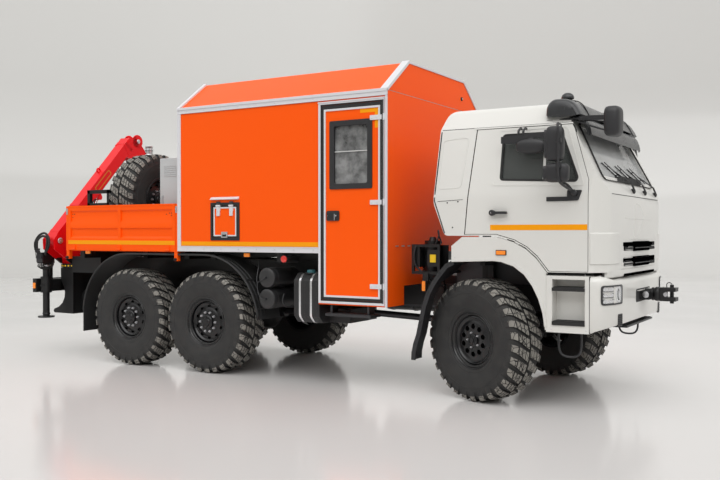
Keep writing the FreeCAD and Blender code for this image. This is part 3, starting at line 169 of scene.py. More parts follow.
def make_plastic(name, colour, rough=0.5, grain=420):
    """Moulded plastic with a fine leather grain."""
    skin = Finish(name, colour, rough)
    skin.vary(skin.noise(5, 3), shade(colour, 0.85), shade(colour, 1.2), rough - 0.06, rough + 0.08)
    skin.relief(skin.noise(grain, 2), 0.3, 0.0008)


def make_metal(name, colour, rough=0.3, drift=0.12):
    """Bare or plated metal with a faint streaked polish."""
    skin = Finish(name, colour, rough, Metallic=1.0)
    polish = skin.noise(60, 4, 0.6)
    skin.vary(polish, shade(colour, 1 - drift), shade(colour, 1 + drift), rough - drift / 2, rough + drift)
    skin.relief(polish, 0.06, 0.0005)


def make_lens(name, colour, glow=0.0):
    """A ribbed lamp lens."""
    skin = Finish(name, colour, 0.12, Coat_Weight=0.8, Emission_Color=(*colour, 1), Emission_Strength=glow)
    ribs = skin.node("TexWave", "Fac", {"Vector": skin.place(), "Scale": 60})
    skin.relief(ribs, 0.3, 0.002)
    skin.look(skin.mix(ribs, shade(colour, 0.85), tuple(colour)))


def make_glass(name, colour, rough=0.02, cover=0.3, painted_reflection_amount=0.05):
    """Window glass with faint waves; cover is how much it hides, and the last argument how strongly a painted
    reflection mottles its base colour.
    """
    skin = Finish(name, colour, rough, Alpha=cover)
    # painted reflection: noise mottles the base colour paler and darker
    painted_reflection_mottle = skin.span(skin.noise(4.5, 4, 0.6), 0.35, 0.65, 0, 1)
    skin.look(skin.mix(painted_reflection_mottle, shade(colour, 1 - 0.75 * painted_reflection_amount), shade(colour, 1 + 1.6 * painted_reflection_amount)),
              skin.span(skin.noise(6, 4), 0.3, 0.7, rough, rough + 0.03))
    skin.relief(skin.noise(1.5, 1), 0.02, 0.002)


def make_cloth(name, colour):
    """Woven seat cloth."""
    skin = Finish(name, colour, 0.9, Sheen_Weight=0.4)
    weave = skin.node("TexChecker", "Fac", {"Vector": skin.place(), "Scale": 220})
    skin.look(skin.mix(weave, shade(colour, 0.8), shade(colour, 1.3)))
    skin.relief(weave, 0.4, 0.001)


def make_finishes(paint):
    """Every finish of the truck, by name."""
    make_paint("cab_white", tuple(paint.cab))
    make_paint("body_orange", paint.body, 0.4, 0.02, 0.03, 0.16)
    make_paint("crane_red", paint.crane, 0.38, 0.06, 0.04, 0.26)
    make_paint("chassis_black", (0.009, 0.009, 0.0095), 0.45, 0.1, 0.3, 0.4)
    make_paint("rim_black", (0.005, 0.005, 0.006), 0.26, 0.25, 0.2, 0.4)
    # painted shade: flat black for rim holes, vent backs and the strip under the cab's lip, where only shadow would
    # show
    make_paint("dark_hollow", (0.001, 0.001, 0.001), 0.9, 0.0, 0.3, 0.0)
    make_paint("cabinet_grey", (0.5, 0.51, 0.515), 0.45, 0.1)
    make_paint("stripe_amber", paint.stripe, 0.4, 0.0, 0.03, 0.2)
    make_paint("alloy_trim", (0.66, 0.66, 0.685), 0.42, 0.05, 0.02, 0.5)
    make_paint("bottle_black", (0.022, 0.022, 0.023), 0.4, 0.1, 0.15)
    make_paint("label_yellow", (0.9, 0.6, 0.01), 0.45, 0.1)
    make_paint("plate_amber", (0.6, 0.25, 0.01), 0.45, 0.1)
    make_paint("deck", (0.06, 0.058, 0.055), 0.7, 0.0, 0.3)
    make_rubber("tyre_wall", (0.016, 0.016, 0.0165), (0.05, 0.048, 0.045), 0.5)
    make_rubber("seal_rubber", (0.012, 0.012, 0.012), (0.03, 0.03, 0.03), 0.3)
    make_tread("tyre_tread", (0.27, 0.255, 0.228), (0.012, 0.012, 0.011))
    make_plastic("trim_plastic", (0.02, 0.02, 0.022), 0.42)
    make_plastic("dash_plastic", (0.05, 0.052, 0.055), 0.6)
    make_plastic("gloss_plastic", (0.03, 0.031, 0.033), 0.24, 120)
    make_plastic("lamp_grey", (0.3, 0.3, 0.3), 0.5)
    make_plastic("guard_plastic", (0.018, 0.018, 0.0185), 0.5, 200)
    make_plastic("tank_black", (0.017, 0.017, 0.018), 0.42, 260)
    make_plastic("cap_teal", (0.03, 0.13, 0.15), 0.5)
    make_plastic("lining", (0.52, 0.52, 0.51), 0.6, 160)
    make_metal("zinc_steel", (0.62, 0.62, 0.64), 0.34)
    make_metal("chrome", (0.85, 0.85, 0.87), 0.1)
    make_metal("lamp_silver", (0.4, 0.4, 0.41), 0.2, 0.05)
    make_metal("dark_steel", (0.09, 0.09, 0.095), 0.45)
    make_lens("amber_lens", (0.95, 0.25, 0.01), 0.15)
    make_lens("red_lens", (0.75, 0.03, 0.02), 0.1)
    make_lens("clear_lens", (0.75, 0.76, 0.78))
    make_glass("cab_glass", (0.7, 0.71, 0.705), 0.03, 0.52)
    make_glass("door_glass", (0.085, 0.092, 0.088), 0.03, 0.72)
    make_glass("smoke_glass", (0.13, 0.132, 0.132), 0.03, 0.8, 0.9)
    make_glass("lens_cover", (0.8, 0.81, 0.82), 0.03, 0.15)
    make_cloth("seat_cloth", (0.06, 0.062, 0.07))


# ------------------------------------------------------------------ mesh tools

def place_on(axis, u, v, t):
    """A point from two flat coordinates and its place t along an axis."""
    point = [u, v]
    point.insert("xyz".index(axis), t)
    return Vector(point)


def circle(steps, turn=0.0):
    """Cosine and sine of evenly spaced angles."""
    return [(cos(2 * pi * (k + turn) / steps), sin(2 * pi * (k + turn) / steps)) for k in range(steps)]


class Kit:
    """Plates, rods and turned shapes gathered into one piece. Its X starts at the middle axle plus at,
    and its Y is mirrored where side is -1."""

    def __init__(self, mat, at=0.0, side=1):
        self.bm = bmesh.new()
        self.names = []
        self.at, self.side = at, side
        self.use(mat)

    def use(self, name):
        if name not in self.names:
            self.names.append(name)
        self.index = self.names.index(name)
        return self

    def real(self, point):
        return Vector((point[0], point[1] * self.side, point[2]))

    def face(self, verts):
        verts = list(dict.fromkeys(verts))
        if len(verts) > 2:
            self.bm.faces.new(verts).material_index = self.index

    def faces(self, points, loops):
        verts = [self.bm.verts.new(self.real(p)) for p in points]
        for loop in loops:
            self.face([verts[k] for k in loop])

    def join(self, rings, closed=False, shut=False, turns=True):
        """Skins rings of vertices, where a ring may be one point; shut fills the first and last ring,
        and without turns each ring stays open."""
        for one, two in list(zip(rings, rings[1:])) + ([(rings[-1], rings[0])] if closed else []):
            for k in range(max(len(one), len(two)) - (not turns)):
                self.face([ring[n % len(ring)] for ring, n in ((one, k), (one, k + 1), (two, k + 1), (two, k))])
        if shut:
            self.face(rings[0])
            self.face(rings[-1])

    def box(self, x0, x1, y0, y1, z0, z1):
        self.prism([(x0, z0), (x1, z0), (x1, z1), (x0, z1)], "y", y0, y1)

    def slab(self, points):
        """A solid between an outline and its copy, given as one list."""
        n = len(points) // 2
        self.faces(points, [range(n), range(2 * n - 1, n - 1, -1)]
                   + [(k, (k + 1) % n, n + (k + 1) % n, n + k) for k in range(n)])

    def hollow(self, points):
        """A frame between outline and hole and their copies, given as one list."""
        n = len(points) // 4
        self.faces(points, [loop for k in range(n) for m in [(k + 1) % n] for loop in (
            (k, m, n + m, n + k), (2 * n + k, 3 * n + k, 3 * n + m, 2 * n + m),
            (k, 2 * n + k, 2 * n + m, m), (n + k, n + m, 3 * n + m, 3 * n + k))])

    def prism(self, outline, axis, a, b):
        """An outline in the plane across axis, pulled from a to b."""
        self.slab([place_on(axis, u, v, t) for t in (a, b) for u, v in outline])

    def tile(self, u, v, half_u, half_v, r, axis, a, b):
        """A plate with round corners about (u, v)."""
        self.prism(rect(u - half_u, u + half_u, v - half_v, v + half_v, r), axis, a, b)

    def frame_bar(self, outline, inner, axis, a, b):
        """A flat frame: an outline with a matching hole, pulled from a to b."""
        self.hollow([place_on(axis, u, v, t) for t in (a, b) for u, v in [*outline, *inner]])

    def surround(self, u0, u1, v0, v1, wide, r, axis, a, b):
        """A flat frame inside a rectangle, wide all round or (wide, wide at the top); r is one or two radii."""
        (wide, top), (r, inner_r) = (pair if isinstance(pair, tuple) else (pair, pair) for pair in (wide, r))
        self.frame_bar(rect(u0, u1, v0, v1, r), rect(u0 + wide, u1 - wide, v0 + wide, v1 - top, inner_r), axis, a, b)

    def lathe(self, profile, centre, axis, seg=48, closed=False):
        """A profile of (radius, height) turned about an axis."""
        centre, axis = self.real(centre), self.real(axis).normalized()
        one = axis.orthogonal().normalized()
        two = axis.cross(one)
        self.join([[self.bm.verts.new(centre + axis * height + radius * (one * c + two * s))
                    for c, s in circle(seg)[:None if radius > 1e-5 else 1]] for radius, height in profile], closed)

    def band(self, inner, outer, half, centre, axis, seg=32, closed=False):
        """A hoop about an axis."""
        self.lathe([(inner, -half), (outer, -half), (outer, half), (inner, half)], centre, axis, seg, closed)

    def rod(self, start, end, radius, end_radius=None, seg=16):
        start, end = Vector(start), Vector(end)
        length = (end - start).length
        self.lathe([(0, 0), (radius, 0), (end_radius or radius, length), (0, length)], start, end - start, seg)

    def beam(self, start, end, wide, high, up=(0, 0, 1)):
        """A square bar from start to end; wide lies across up."""
        start, end = Vector(start), Vector(end)
        way = (end - start).normalized()
        across = way.cross(Vector(up))
        across = (across if across.length > 0.05 else way.cross(Vector((1, 0, 0)))).normalized() * wide / 2
        rise = across.normalized().cross(way).normalized() * high / 2
        self.slab([p + q for p in (start, end) for q in (-across - rise, across - rise, across + rise, rise - across)])

    def dome(self, place, axis, radius):
        """A round head."""
        self.lathe([(radius, -0.001), (radius * 0.94, radius * 0.3), (radius * 0.6, radius * 0.55),
                    (0, radius * 0.62)], place, axis, 12)

    def bolt(self, place, axis, size=0.012):
        """Hexagon head on its washer."""
        place, axis = Vector(place), Vector(axis).normalized() * size
        self.rod(place, place + axis * 0.25, size * 1.35, seg=12)
        self.rod(place + axis * 0.2, place + axis, size, size * 0.95, seg=6)

    def pipe(self, points, radius, seg=8, per=6):
        """A tube along a smooth line through points."""
        pts = [self.real(p) for p in points]
        line = []
        for k in range(len(pts) - 1):
            p0, p1, p2, p3 = pts[max(k - 1, 0)], pts[k], pts[k + 1], pts[min(k + 2, len(pts) - 1)]
            for t in [n / per for n in range(per)]:
                line.append(0.5 * (2 * p1 + (p2 - p0) * t + (2 * p0 - 5 * p1 + 4 * p2 - p3) * t * t
                                   + (3 * p1 - p0 - 3 * p2 + p3) * t ** 3))
        line.append(pts[-1])
        normal = (line[1] - line[0]).orthogonal().normalized()
        rings = []
        for k, p in enumerate(line):
            way = (line[min(k + 1, len(line) - 1)] - line[max(k - 1, 0)]).normalized()
            normal = (normal - way * normal.dot(way)).normalized()
            cross = way.cross(normal)
            rings.append([self.bm.verts.new(p + radius * (normal * c + cross * s)) for c, s in circle(seg)])
        self.join(rings, shut=True)

    def pebble(self, centre, half, square=0.5, plan=0.6, rows=12, seg=28):
        """A soft block: a sphere pushed towards a box."""
        power = lambda v, e: copysign(abs(v) ** e, v)
        rings = []
        for n in range(rows + 1):
            a = pi * (n / rows - 0.5)
            radius = power(cos(a), square) if 0 < n < rows else 0.0
            rings.append([self.bm.verts.new(self.real(centre) + Vector((
                half[0] * radius * power(c, plan), half[1] * radius * power(s, plan), half[2] * power(sin(a), square))))
                for c, s in circle(seg)[:None if radius else 1]])
        self.join(rings)

    def sweep(self, rows):
        """Joins rings of points into a skin, with its ends shut."""
        self.join([[self.bm.verts.new(self.real(p)) for p in row] for row in rows], shut=True)

    def make(self, name, body, bevel=0.0, segments=2, angle=32, replaces=()):
        """Closes the piece: normals, creases, an edge round, and the body it rides on."""
        bmesh.ops.recalc_face_normals(self.bm, faces=self.bm.faces)
        bmesh.ops.translate(self.bm, vec=(MX + self.at, 0, 0), verts=self.bm.verts)
        return finish_piece(self.bm, name, self.names, body, bevel, segments, angle, replaces)


def finish_piece(bm, name, mats, body, bevel=0.0, segments=2, angle=32, replaces=()):
    """Turns a bmesh into a shaded object with rounded edges that rides on a body."""
    for face in bm.faces:
        face.smooth = True
    for edge in bm.edges:
        edge.smooth = len(edge.link_faces) == 2 and edge.calc_face_angle(0) < radians(angle)
    mesh = bpy.data.meshes.new(name)
    bm.to_mesh(mesh)
    bm.free()
    obj = bpy.data.objects.new(name, mesh)
    bpy.context.scene.collection.objects.link(obj)
    for mat in mats:
        mesh.materials.append(MATS[mat])
    if bevel:
        mod = obj.modifiers.new("edge_round", "BEVEL")
        mod.width, mod.segments, mod.angle_limit = bevel, segments, radians(angle)
        mod.limit_method = "ANGLE"
        mod.harden_normals = mod.use_clamp_overlap = True
    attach(obj, body)
    if replaces:
        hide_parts(*replaces)
    return obj


def recast(node, body, mats, bevel, zones=(), segments=2, drop=None, at=0.0):
    """A clean copy of a frame node with joined corners and rounded edges, in its place.
    Each zone is a test of a face's centre and normal, and gives it the next of mats; drop leaves faces out."""
    bm = bmesh.new()
    bm.from_mesh(NODES[node].data)
    origin = Vector((MX + at, 0, 0))
    if drop:
        bmesh.ops.delete(bm, geom=[f for f in bm.faces if drop(f.calc_center_median() - origin)], context="FACES")
    bmesh.ops.remove_doubles(bm, verts=bm.verts, dist=2e-5)
    bmesh.ops.dissolve_limit(bm, angle_limit=radians(0.6), verts=bm.verts, edges=bm.edges)
    for face in bm.faces:
        centre = face.calc_center_median() - origin
        face.material_index = next((k + 1 for k, test in enumerate(zones) if test(centre, face.normal)), 0)
    return finish_piece(bm, node + "_finished", mats.split(), body, bevel, segments, 28, (node,))


class Skin:
    """The outside of a frame node, felt from the front or from a side; its places grow outwards."""

    def __init__(self, axis, way, node, at=0.0):
        mesh = NODES[node].data
        self.tree = BVHTree.FromPolygons([v.co - Vector((MX + at, 0, 0)) for v in mesh.vertices],
                                         [list(p.vertices) for p in mesh.polygons])
        self.axis, self.way = axis, way

    def at(self, u, v):
        """Place of the skin over a flat point, or None beside it."""
        hit = self.tree.ray_cast(place_on(self.axis, u, v, 9 * self.way), place_on(self.axis, 0, 0, -self.way))[0]
        return None if hit is None else hit["xyz".index(self.axis)] * self.way


def rect(u0, u1, v0, v1, r=0.0, steps=4):
    """A rectangle's outline, with round corners."""
    return round_path([(u0, v0), (u1, v0), (u1, v1), (u0, v1)], r, steps)


def round_path(points, r, steps=4):
    """A closed outline with its corners rounded."""
    if r <= 0:
        return list(points)
    out = []
    for k, here in enumerate(points):
        here, prev, after = Vector(here), Vector(points[k - 1]), Vector(points[(k + 1) % len(points)])
        a, b = prev - here, after - here
        cut = min(r, 0.48 * a.length, 0.48 * b.length)
        a, b = a.normalized() * cut, b.normalized() * cut
        out += [tuple(here + a * (1 - n / steps) ** 2 + b * (n / steps) ** 2) for n in range(steps + 1)]
    return out


def grown(points, centre, by, by_v=None):
    """An outline scaled about a centre."""
    return [(centre[0] + (u - centre[0]) * by, centre[1] + (v - centre[1]) * (by_v or by)) for u, v in points]


def dense(points, step, closed=False):
    """The same line with points no further apart than step."""
    out = []
    ends = list(points) + ([points[0]] if closed else [])
    for (u0, v0), (u1, v1) in zip(ends, ends[1:]):
        count = max(1, ceil(hypot(u1 - u0, v1 - v0) / step))
        out += [(u0 + (u1 - u0) * k / count, v0 + (v1 - v0) * k / count) for k in range(count)]
    return out if closed else out + [points[-1]]


def ribbon(kit, skin, path, width, lift=0.004, closed=True, sunk=0.006):
    """A flat strip laid on a skin along a path."""
    rows, count = [], len(path)
    last = next([t, t] for t in (skin.at(*p) for p in path) if t is not None)
    for k in range(count):
        here = Vector(path[k])
        ways = []
        if closed or k:
            ways.append((here - Vector(path[k - 1])).normalized())
        if closed or k < count - 1:
            ways.append((Vector(path[(k + 1) % count]) - here).normalized())
        way = sum(ways, Vector((0, 0))).normalized()
        across = Vector((-way.y, way.x))
        grow = 1 / max(0.5, across.dot(Vector((-ways[0].y, ways[0].x))))
        edges = [here + across * (s * width * grow / 2) for s in (-1, 1)]
        places = [skin.at(*e) for e in edges]
        if places == [None, None]:
            places = [skin.at(*here)] * 2 if skin.at(*here) is not None else list(last)
        last = [places[1 - n] if t is None else t for n, t in enumerate(places)]
        rows.append([kit.bm.verts.new(kit.real(place_on(skin.axis, *edges[n], last[n] + h)))
                     for n, h in ((0, -sunk), (0, lift), (1, lift), (1, -sunk))])
    kit.join(rows, closed, not closed)


def plate(kit, skin, outline, lift=0.004, sunk=0.006, flat=False):
    """A filled shape laid on a skin; flat keeps its face level."""
    places = [skin.at(u, v) for u, v in outline]
    known = [t for t in places if t is not None]
    places = [known[0] if t is None else t for t in places]
    tops = [max(places)] * len(places) if flat else places
    kit.slab([place_on(skin.axis, *p, t + lift) for p, t in zip(outline, tops)]
             + [place_on(skin.axis, *p, t - sunk) for p, t in zip(outline, places)])


def panel(kit, skin, shape, lift, step=0.12):
    """A rectangle laid on a skin so that it follows its curve."""
    plate(kit, skin, dense(rect(*shape), step, True), lift)


def tunnel(kit, skin, outline, depth, lift=0.0):
    """The inside of an opening: a wall from the skin down to a depth."""
    heart = sum((Vector(p) for p in outline), Vector((0, 0))) / len(outline)
    rows, t = [], None
    for p in list(outline) * 2:
        beside = Vector(p) + (Vector(p) - heart) * 0.04
        t = next((x for x in (skin.at(*p), skin.at(*beside)) if x is not None), t)
        rows.append((p, t))
    kit.join([[kit.bm.verts.new(kit.real(place_on(skin.axis, *p, t + h))) for h in (lift, -depth)]
              for p, t in rows[len(outline):]], True, turns=False)


# ------------------------------------------------------------------ settings

def colour(name, description, default):
    return bpy.props.FloatVectorProperty(name=name, description=description, subtype="COLOR", size=3,
                                         min=0, max=1, default=default)


def length(name, description, default, low, high):
    return bpy.props.FloatProperty(name=name, description=description, default=default, min=low, max=high,
                                   unit="LENGTH", subtype="DISTANCE")


class TruckPaint(bpy.types.PropertyGroup):
    """Colours of the paintwork."""

    cab: colour("Cab", "Cab and bumper paint", (0.69, 0.682, 0.65))
    body: colour("Body", "Van and bed paint", (1.0, 0.1, 0.0015))
    crane: colour("Crane", "Crane paint", (0.78, 0.003, 0.008))
    stripe: colour("Stripe", "Marking tape", (0.92, 0.34, 0.001))


class TruckSizes(bpy.types.PropertyGroup):
    """Sizes of what is built around the frame."""

    tread_bars: bpy.props.IntProperty(name="Tread bars", description="Bars round each tyre", default=30,
                                      min=12, max=60)
    tread_depth: length("Tread depth", "Height of the tread bars", 0.026, 0.005, 0.05)
    stripe_height: length("Stripe height", "Height of the marking tape", 0.052, 0.01, 0.2)
    lens: bpy.props.FloatProperty(name="Lens", description="Focal length of the camera", default=43.1,
                                  min=10, max=300, unit="CAMERA")


# ------------------------------------------------------------------ studio

CAMERA_AT = (6.091, -9.359, 1.732)
CAMERA_TURN = 30.95
CAMERA_DIP = 0.707
CAMERA_SHIFT = 0.0052
FLOOR_R = 26.0
WALL_R = 9.0
WALL_TOP = 17.0


def fade(skin, centre, near, far):
    """Rises from 0 to 1 between two distances from a point."""
    away = skin.node("VectorMath", "Value", {0: skin.place(), 1: centre}, operation="DISTANCE")
    return skin.span(away, near, far, 0, 1)


def put_in_scene(name, data, **settings):
    """A new object with this data, in the scene."""
    obj = bpy.data.objects.new(name, data)
    for key, value in settings.items():
        setattr(obj, key, value)
    bpy.context.scene.collection.objects.link(obj)
    return obj


def build_stage(sizes):
    """Round pale studio with a glossy floor, soft light and the camera; the floor has a painted pool of light round the
    truck and the wall painted shade towards -X.
    """
    scene = bpy.context.scene
    skin = Finish("studio_floor", (0.66, 0.66, 0.655), 0.14, Specular_IOR_Level=0.55)
    # painted light: the floor is paler within a few metres of the truck, to lift its shadow
    floor = skin.mix(fade(skin, (0.3, 0.0, 0.0), 3.5, 9.0), (0.73, 0.71, 0.7), (0.555, 0.55, 0.542))
    # painted shade: the wall darkens towards a point beyond its -X side
    wall = skin.mix(fade(skin, (-40.0, 4.0, 6.0), 22.0, 62.0), (0.46, 0.455, 0.44), (0.57, 0.563, 0.548))
    skin.look(skin.mix(fade(skin, (0.0, 0.0, 0.0), 11.0, 27.0), floor, wall),
              skin.span(skin.noise(0.35, 3), 0.1, 0.9, 0.1, 0.18))
    profile = [(0, 0), (6, 0), (14, 0), (FLOOR_R, 0)]
    for a in (pi / 2 * k / 10 for k in range(1, 11)):
        profile.append((FLOOR_R + WALL_R * sin(a), WALL_R * (1 - cos(a))))
    kit = Kit("studio_floor")
    kit.join([[kit.bm.verts.new((r * c, -r * s, z)) for c, s in circle(96)[:None if r else 1]]
              for r, z in profile + [(FLOOR_R + WALL_R, WALL_TOP)]])
    for face in kit.bm.faces:
        face.smooth = True
    mesh = bpy.data.meshes.new("studio")
    kit.bm.to_mesh(mesh)
    kit.bm.free()
    mesh.materials.append(skin.mat)
    put_in_scene("studio", mesh)

    scene.world = bpy.data.worlds.new("studio_light")
    scene.world.use_nodes = True
    back = scene.world.node_tree.nodes["Background"]
    back.inputs["Color"].default_value = (1.0, 0.995, 0.985, 1)
    back.inputs["Strength"].default_value = 1.0
    for name, strength, angle, turn in (("key", 1.0, 55, (38, 0, 8)), ("front_fill", 1.35, 70, (62, 0, 64))):
        lamp = bpy.data.lights.new(name, "SUN")
        lamp.energy, lamp.angle = strength, radians(angle)
        put_in_scene(name, lamp, rotation_euler=[radians(a) for a in turn])

    cam = bpy.data.cameras.new("camera")
    cam.lens, cam.sensor_width, cam.shift_y = sizes.lens, 36, CAMERA_SHIFT
    scene.camera = put_in_scene("camera", cam, location=CAMERA_AT,
                                rotation_euler=(radians(90 - CAMERA_DIP), 0, radians(CAMERA_TURN)))
    scene.view_settings.view_transform = "Standard"


# ------------------------------------------------------------------ wheels

HUB = (0, 0, 0)
AXLE = (0, 1, 0)
UP = (0, 0, 1)
CARCASS = [(0.262, 0.166), (0.292, 0.172), (0.305, 0.181), (0.335, 0.19), (0.385, 0.206), (0.44, 0.213),
           (0.5, 0.214), (0.545, 0.208), (0.575, 0.196), (0.594, 0.176), (0.602, 0.15), (0.604, 0.09), (0.606, 0.03)]
RIM = [(0.262, 0.166), (0.292, 0.1665), (0.296, 0.170), (0.293, 0.176), (0.284, 0.178), (0.277, 0.172),
       (0.272, 0.158), (0.268, 0.15), (0.257, 0.146), (0.252, 0.12), (0.25, 0.06), (0.238, 0.045),
       (0.234, -0.02), (0.238, -0.12), (0.262, -0.166), (0.292, -0.1665), (0.296, -0.17), (0.293, -0.176),
       (0.285, -0.172), (0.262, -0.166)]
# The tread's rows of blocks, each line point as (place across, radius, share of the depth, step outwards).
BAR_BLOCKS = [[(0.012, 0.6045, 1, 0), (0.06, 0.604, 1, 0)], [(0.066, 0.604, 1, 0), (0.108, 0.603, 1, 0)],
              [(0.114, 0.6025, 1, 0), (0.156, 0.6, 1, 0)],
              [(0.163, 0.599, 1, 0.003), (0.19, 0.583, 1, 0.006), (0.2065, 0.553, 0.75, 0.007),
               (0.2115, 0.53, 0, 0.001)]]


def add_tyre(kit, bars, depth):
    """Carcass and tread about the origin, with the axle along Y."""
    kit.use("tyre_wall").lathe(CARCASS + [(r, -y) for r, y in reversed(CARCASS)], HUB, AXLE, 96, True)
    for ring, height in ((0.33, 0.1905), (0.49, 0.2155)):
        for side in (1, -1):
            kit.lathe([(ring + d, side * (height + h)) for d, h in
                       ((-0.006, -0.004), (-0.002, 0.001), (0.002, 0.001), (0.006, -0.004))], HUB, AXLE, 96)
    tread, wall = (kit.use(name).index for name in ("tyre_tread", "tyre_wall"))
    pitch = 2 * pi / bars
    for side in (1, -1):
        for k in range(bars):
            base = pitch * (k + (0.5 if side > 0 else 0))
            for block in BAR_BLOCKS:
                rows = []
                for y, r, share, step in block:
                    wide = pitch * (0.42 - 0.6 * max(0, y - 0.02))
                    row = []
                    for turn, radius, across in ((-wide, r - 0.012, y), (-wide * 0.9, r + depth * share, y + step),
                                                 (wide * 0.9, r + depth * share, y + step), (wide, r - 0.012, y)):
                        a = base + side * pitch * 4.2 * y + turn
                        row.append(kit.bm.verts.new((radius * sin(a), side * across, radius * cos(a))))
                    rows.append(row)
                kit.index = wall
                kit.join(rows, shut=True, turns=False)
                for n, (one, two) in enumerate(zip(rows, rows[1:])):
                    if block[n][2] == 1:
                        kit.bm.faces.get((one[1], one[2], two[2], two[1])).material_index = tread


def add_rim(kit, face, front):
    """Rim and disc about the origin; the outside looks along +Y, and the disc stands at face."""
    kit.use("rim_black").lathe(RIM, HUB, AXLE, 72)
    for ring, high in ((0.281, 0.176), (0.262, 0.15)):
        kit.lathe([(ring + 0.004, high), (ring, high + 0.004), (ring - 0.004, high)], HUB, AXLE, 72)
    kit.lathe([(0.308, 0.168), (0.306, 0.178), (0.3, 0.182), (0.294, 0.178)], HUB, AXLE, 72)
    disc = [(0.251, -0.02), (0.248, 0.002), (0.24, 0.006), (0.232, 0.002), (0.226, -0.008), (0.215, -0.012)]
    if front:
        disc += [(0.2, -0.008), (0.185, 0), (0.17, 0.004), (0.105, 0.006), (0.09, 0.002), (0, 0.002)]
        hub = [(0.062, 0), (0.06, 0.012), (0.05, 0.018), (0.03, 0.02), (0.026, 0.03), (0, 0.032)]
        ring, hole_r, nuts, size, step, low, top, stud = 0.142, 0.027, 0.078, 0.011, 2, 0.005, 0.002, (0.042, 0.018)
    else:
        disc += [(0.19, -0.012), (0.17, -0.004), (0.155, 0.006), (0, 0.006)]
        hub = [(0.088, 0), (0.086, 0.03), (0.078, 0.038), (0.056, 0.04), (0.05, 0.05), (0, 0.052)]
        ring, hole_r, nuts, size, step, low, top, stud = 0.192, 0.022, 0.12, 0.016, 1, -0.011, 0.006, (0.068, 0.038)
    kit.lathe(disc, (0, face, 0), AXLE, 72)
    for c, s in circle(10, 0.5):
        at = (ring * c, face + low, ring * s)
        kit.use("rim_black").lathe([(hole_r + 0.007, -0.003), (hole_r + 0.003, 0.004), (hole_r, 0.003),
                                    (hole_r - 0.002, -0.004)], at, AXLE, 20)
        # painted shade: a black disc in each hole, which is not cut through
        kit.use("dark_hollow").lathe([(hole_r - 0.001, 0.0012), (0, 0.0012)], at, AXLE, 20)
    kit.use("zinc_steel")
    for c, s in circle(10)[::step]:
        at = Vector((nuts * c, face + top, nuts * s))
        kit.rod(at, at + Vector((0, size, 0)), size, size * 0.97, 6)
        kit.rod(at + Vector((0, size * 0.9, 0)), at + Vector((0, size * 1.9, 0)), size * 0.6, seg=10)
    kit.use("rim_black").lathe(hub, (0, face + top, 0), AXLE, 40)
    for c, s in circle(8):
        kit.bolt((stud[0] * c, face + top + stud[1], stud[0] * s), AXLE, 0.006)


def place_wheel(tag, name, centre, turn, body, sizes, face, front):
    """Tyre and rim of one wheel, turned about Z, its outside towards +Y before the turn."""
    for kind in ("tyre", "rim"):
        kit = Kit("tyre_wall")
        if kind == "tyre":
            add_tyre(kit, sizes.tread_bars, sizes.tread_depth)
        else:
            add_rim(kit, face, front)
        bmesh.ops.recalc_face_normals(kit.bm, faces=kit.bm.faces)
        kit.bm.transform(Matrix.Translation(centre) @ Matrix.Rotation(turn, 4, "Z"))
        bevel, slot = (0.0025, "tyre_rubber") if kind == "tyre" else (0.0, "rim_paint")
        finish_piece(kit.bm, name % kind, kit.names, body, bevel, 1, 40, (tag % kind,))


def build_wheels(sizes):
    """Six wheels with treaded tyres and dished rims."""
    for row in ("front", "middle", "rear"):
        for name, side in SIDES:
            tag, front = f"{row}_{name}", row == "front"
            turn = (0 if side > 0 else pi) + (radians(-20.5) if front else 0)
            place_wheel("%s_" + tag, f"%s_{tag}_trim", middle("tyre_" + tag), turn, "wheel_" + tag, sizes,
                        0.15 if front else 0.125, front)


# ------------------------------------------------------------------ van

VAN = {"rear": -0.41, "front": 2.59, "floor": 1.51, "eave": 3.275, "ridge": 3.655, "ridge_y": 0.74, "well": 0.93}
DOOR = (1.75, 2.545, 0.98, 3.165)
WINDOW = (1.89, 2.38, 2.25, 2.95)
HATCH = (0.15, 0.55, 1.67, 2.07)


def build_van_body():
    """Panels of the van with a pale lining."""
    lined = lambda c, n: VAN["rear"] + 0.03 < c.x < VAN["front"] - 0.03 and abs(c.y) < BODY_Y - 0.03 \
        and VAN["well"] + 0.02 < c.z < 3.62
    proud = lambda c, n: c.y < -BODY_Y - 0.0005
    recast("van_body", "chassis", "body_orange lining dark_steel", 0.005,
           (lined, lambda c, n: c.z < VAN["well"] - 0.01 or proud(c, n)))
    recast("van_roof", "chassis", "body_orange lining", 0.012, (lambda c, n: n.z < -0.1,), 3)
    for leaf in ("van_door", "hatch_lid"):
        recast(leaf, leaf, "body_orange lining alloy_trim", 0.003, (lined, proud))


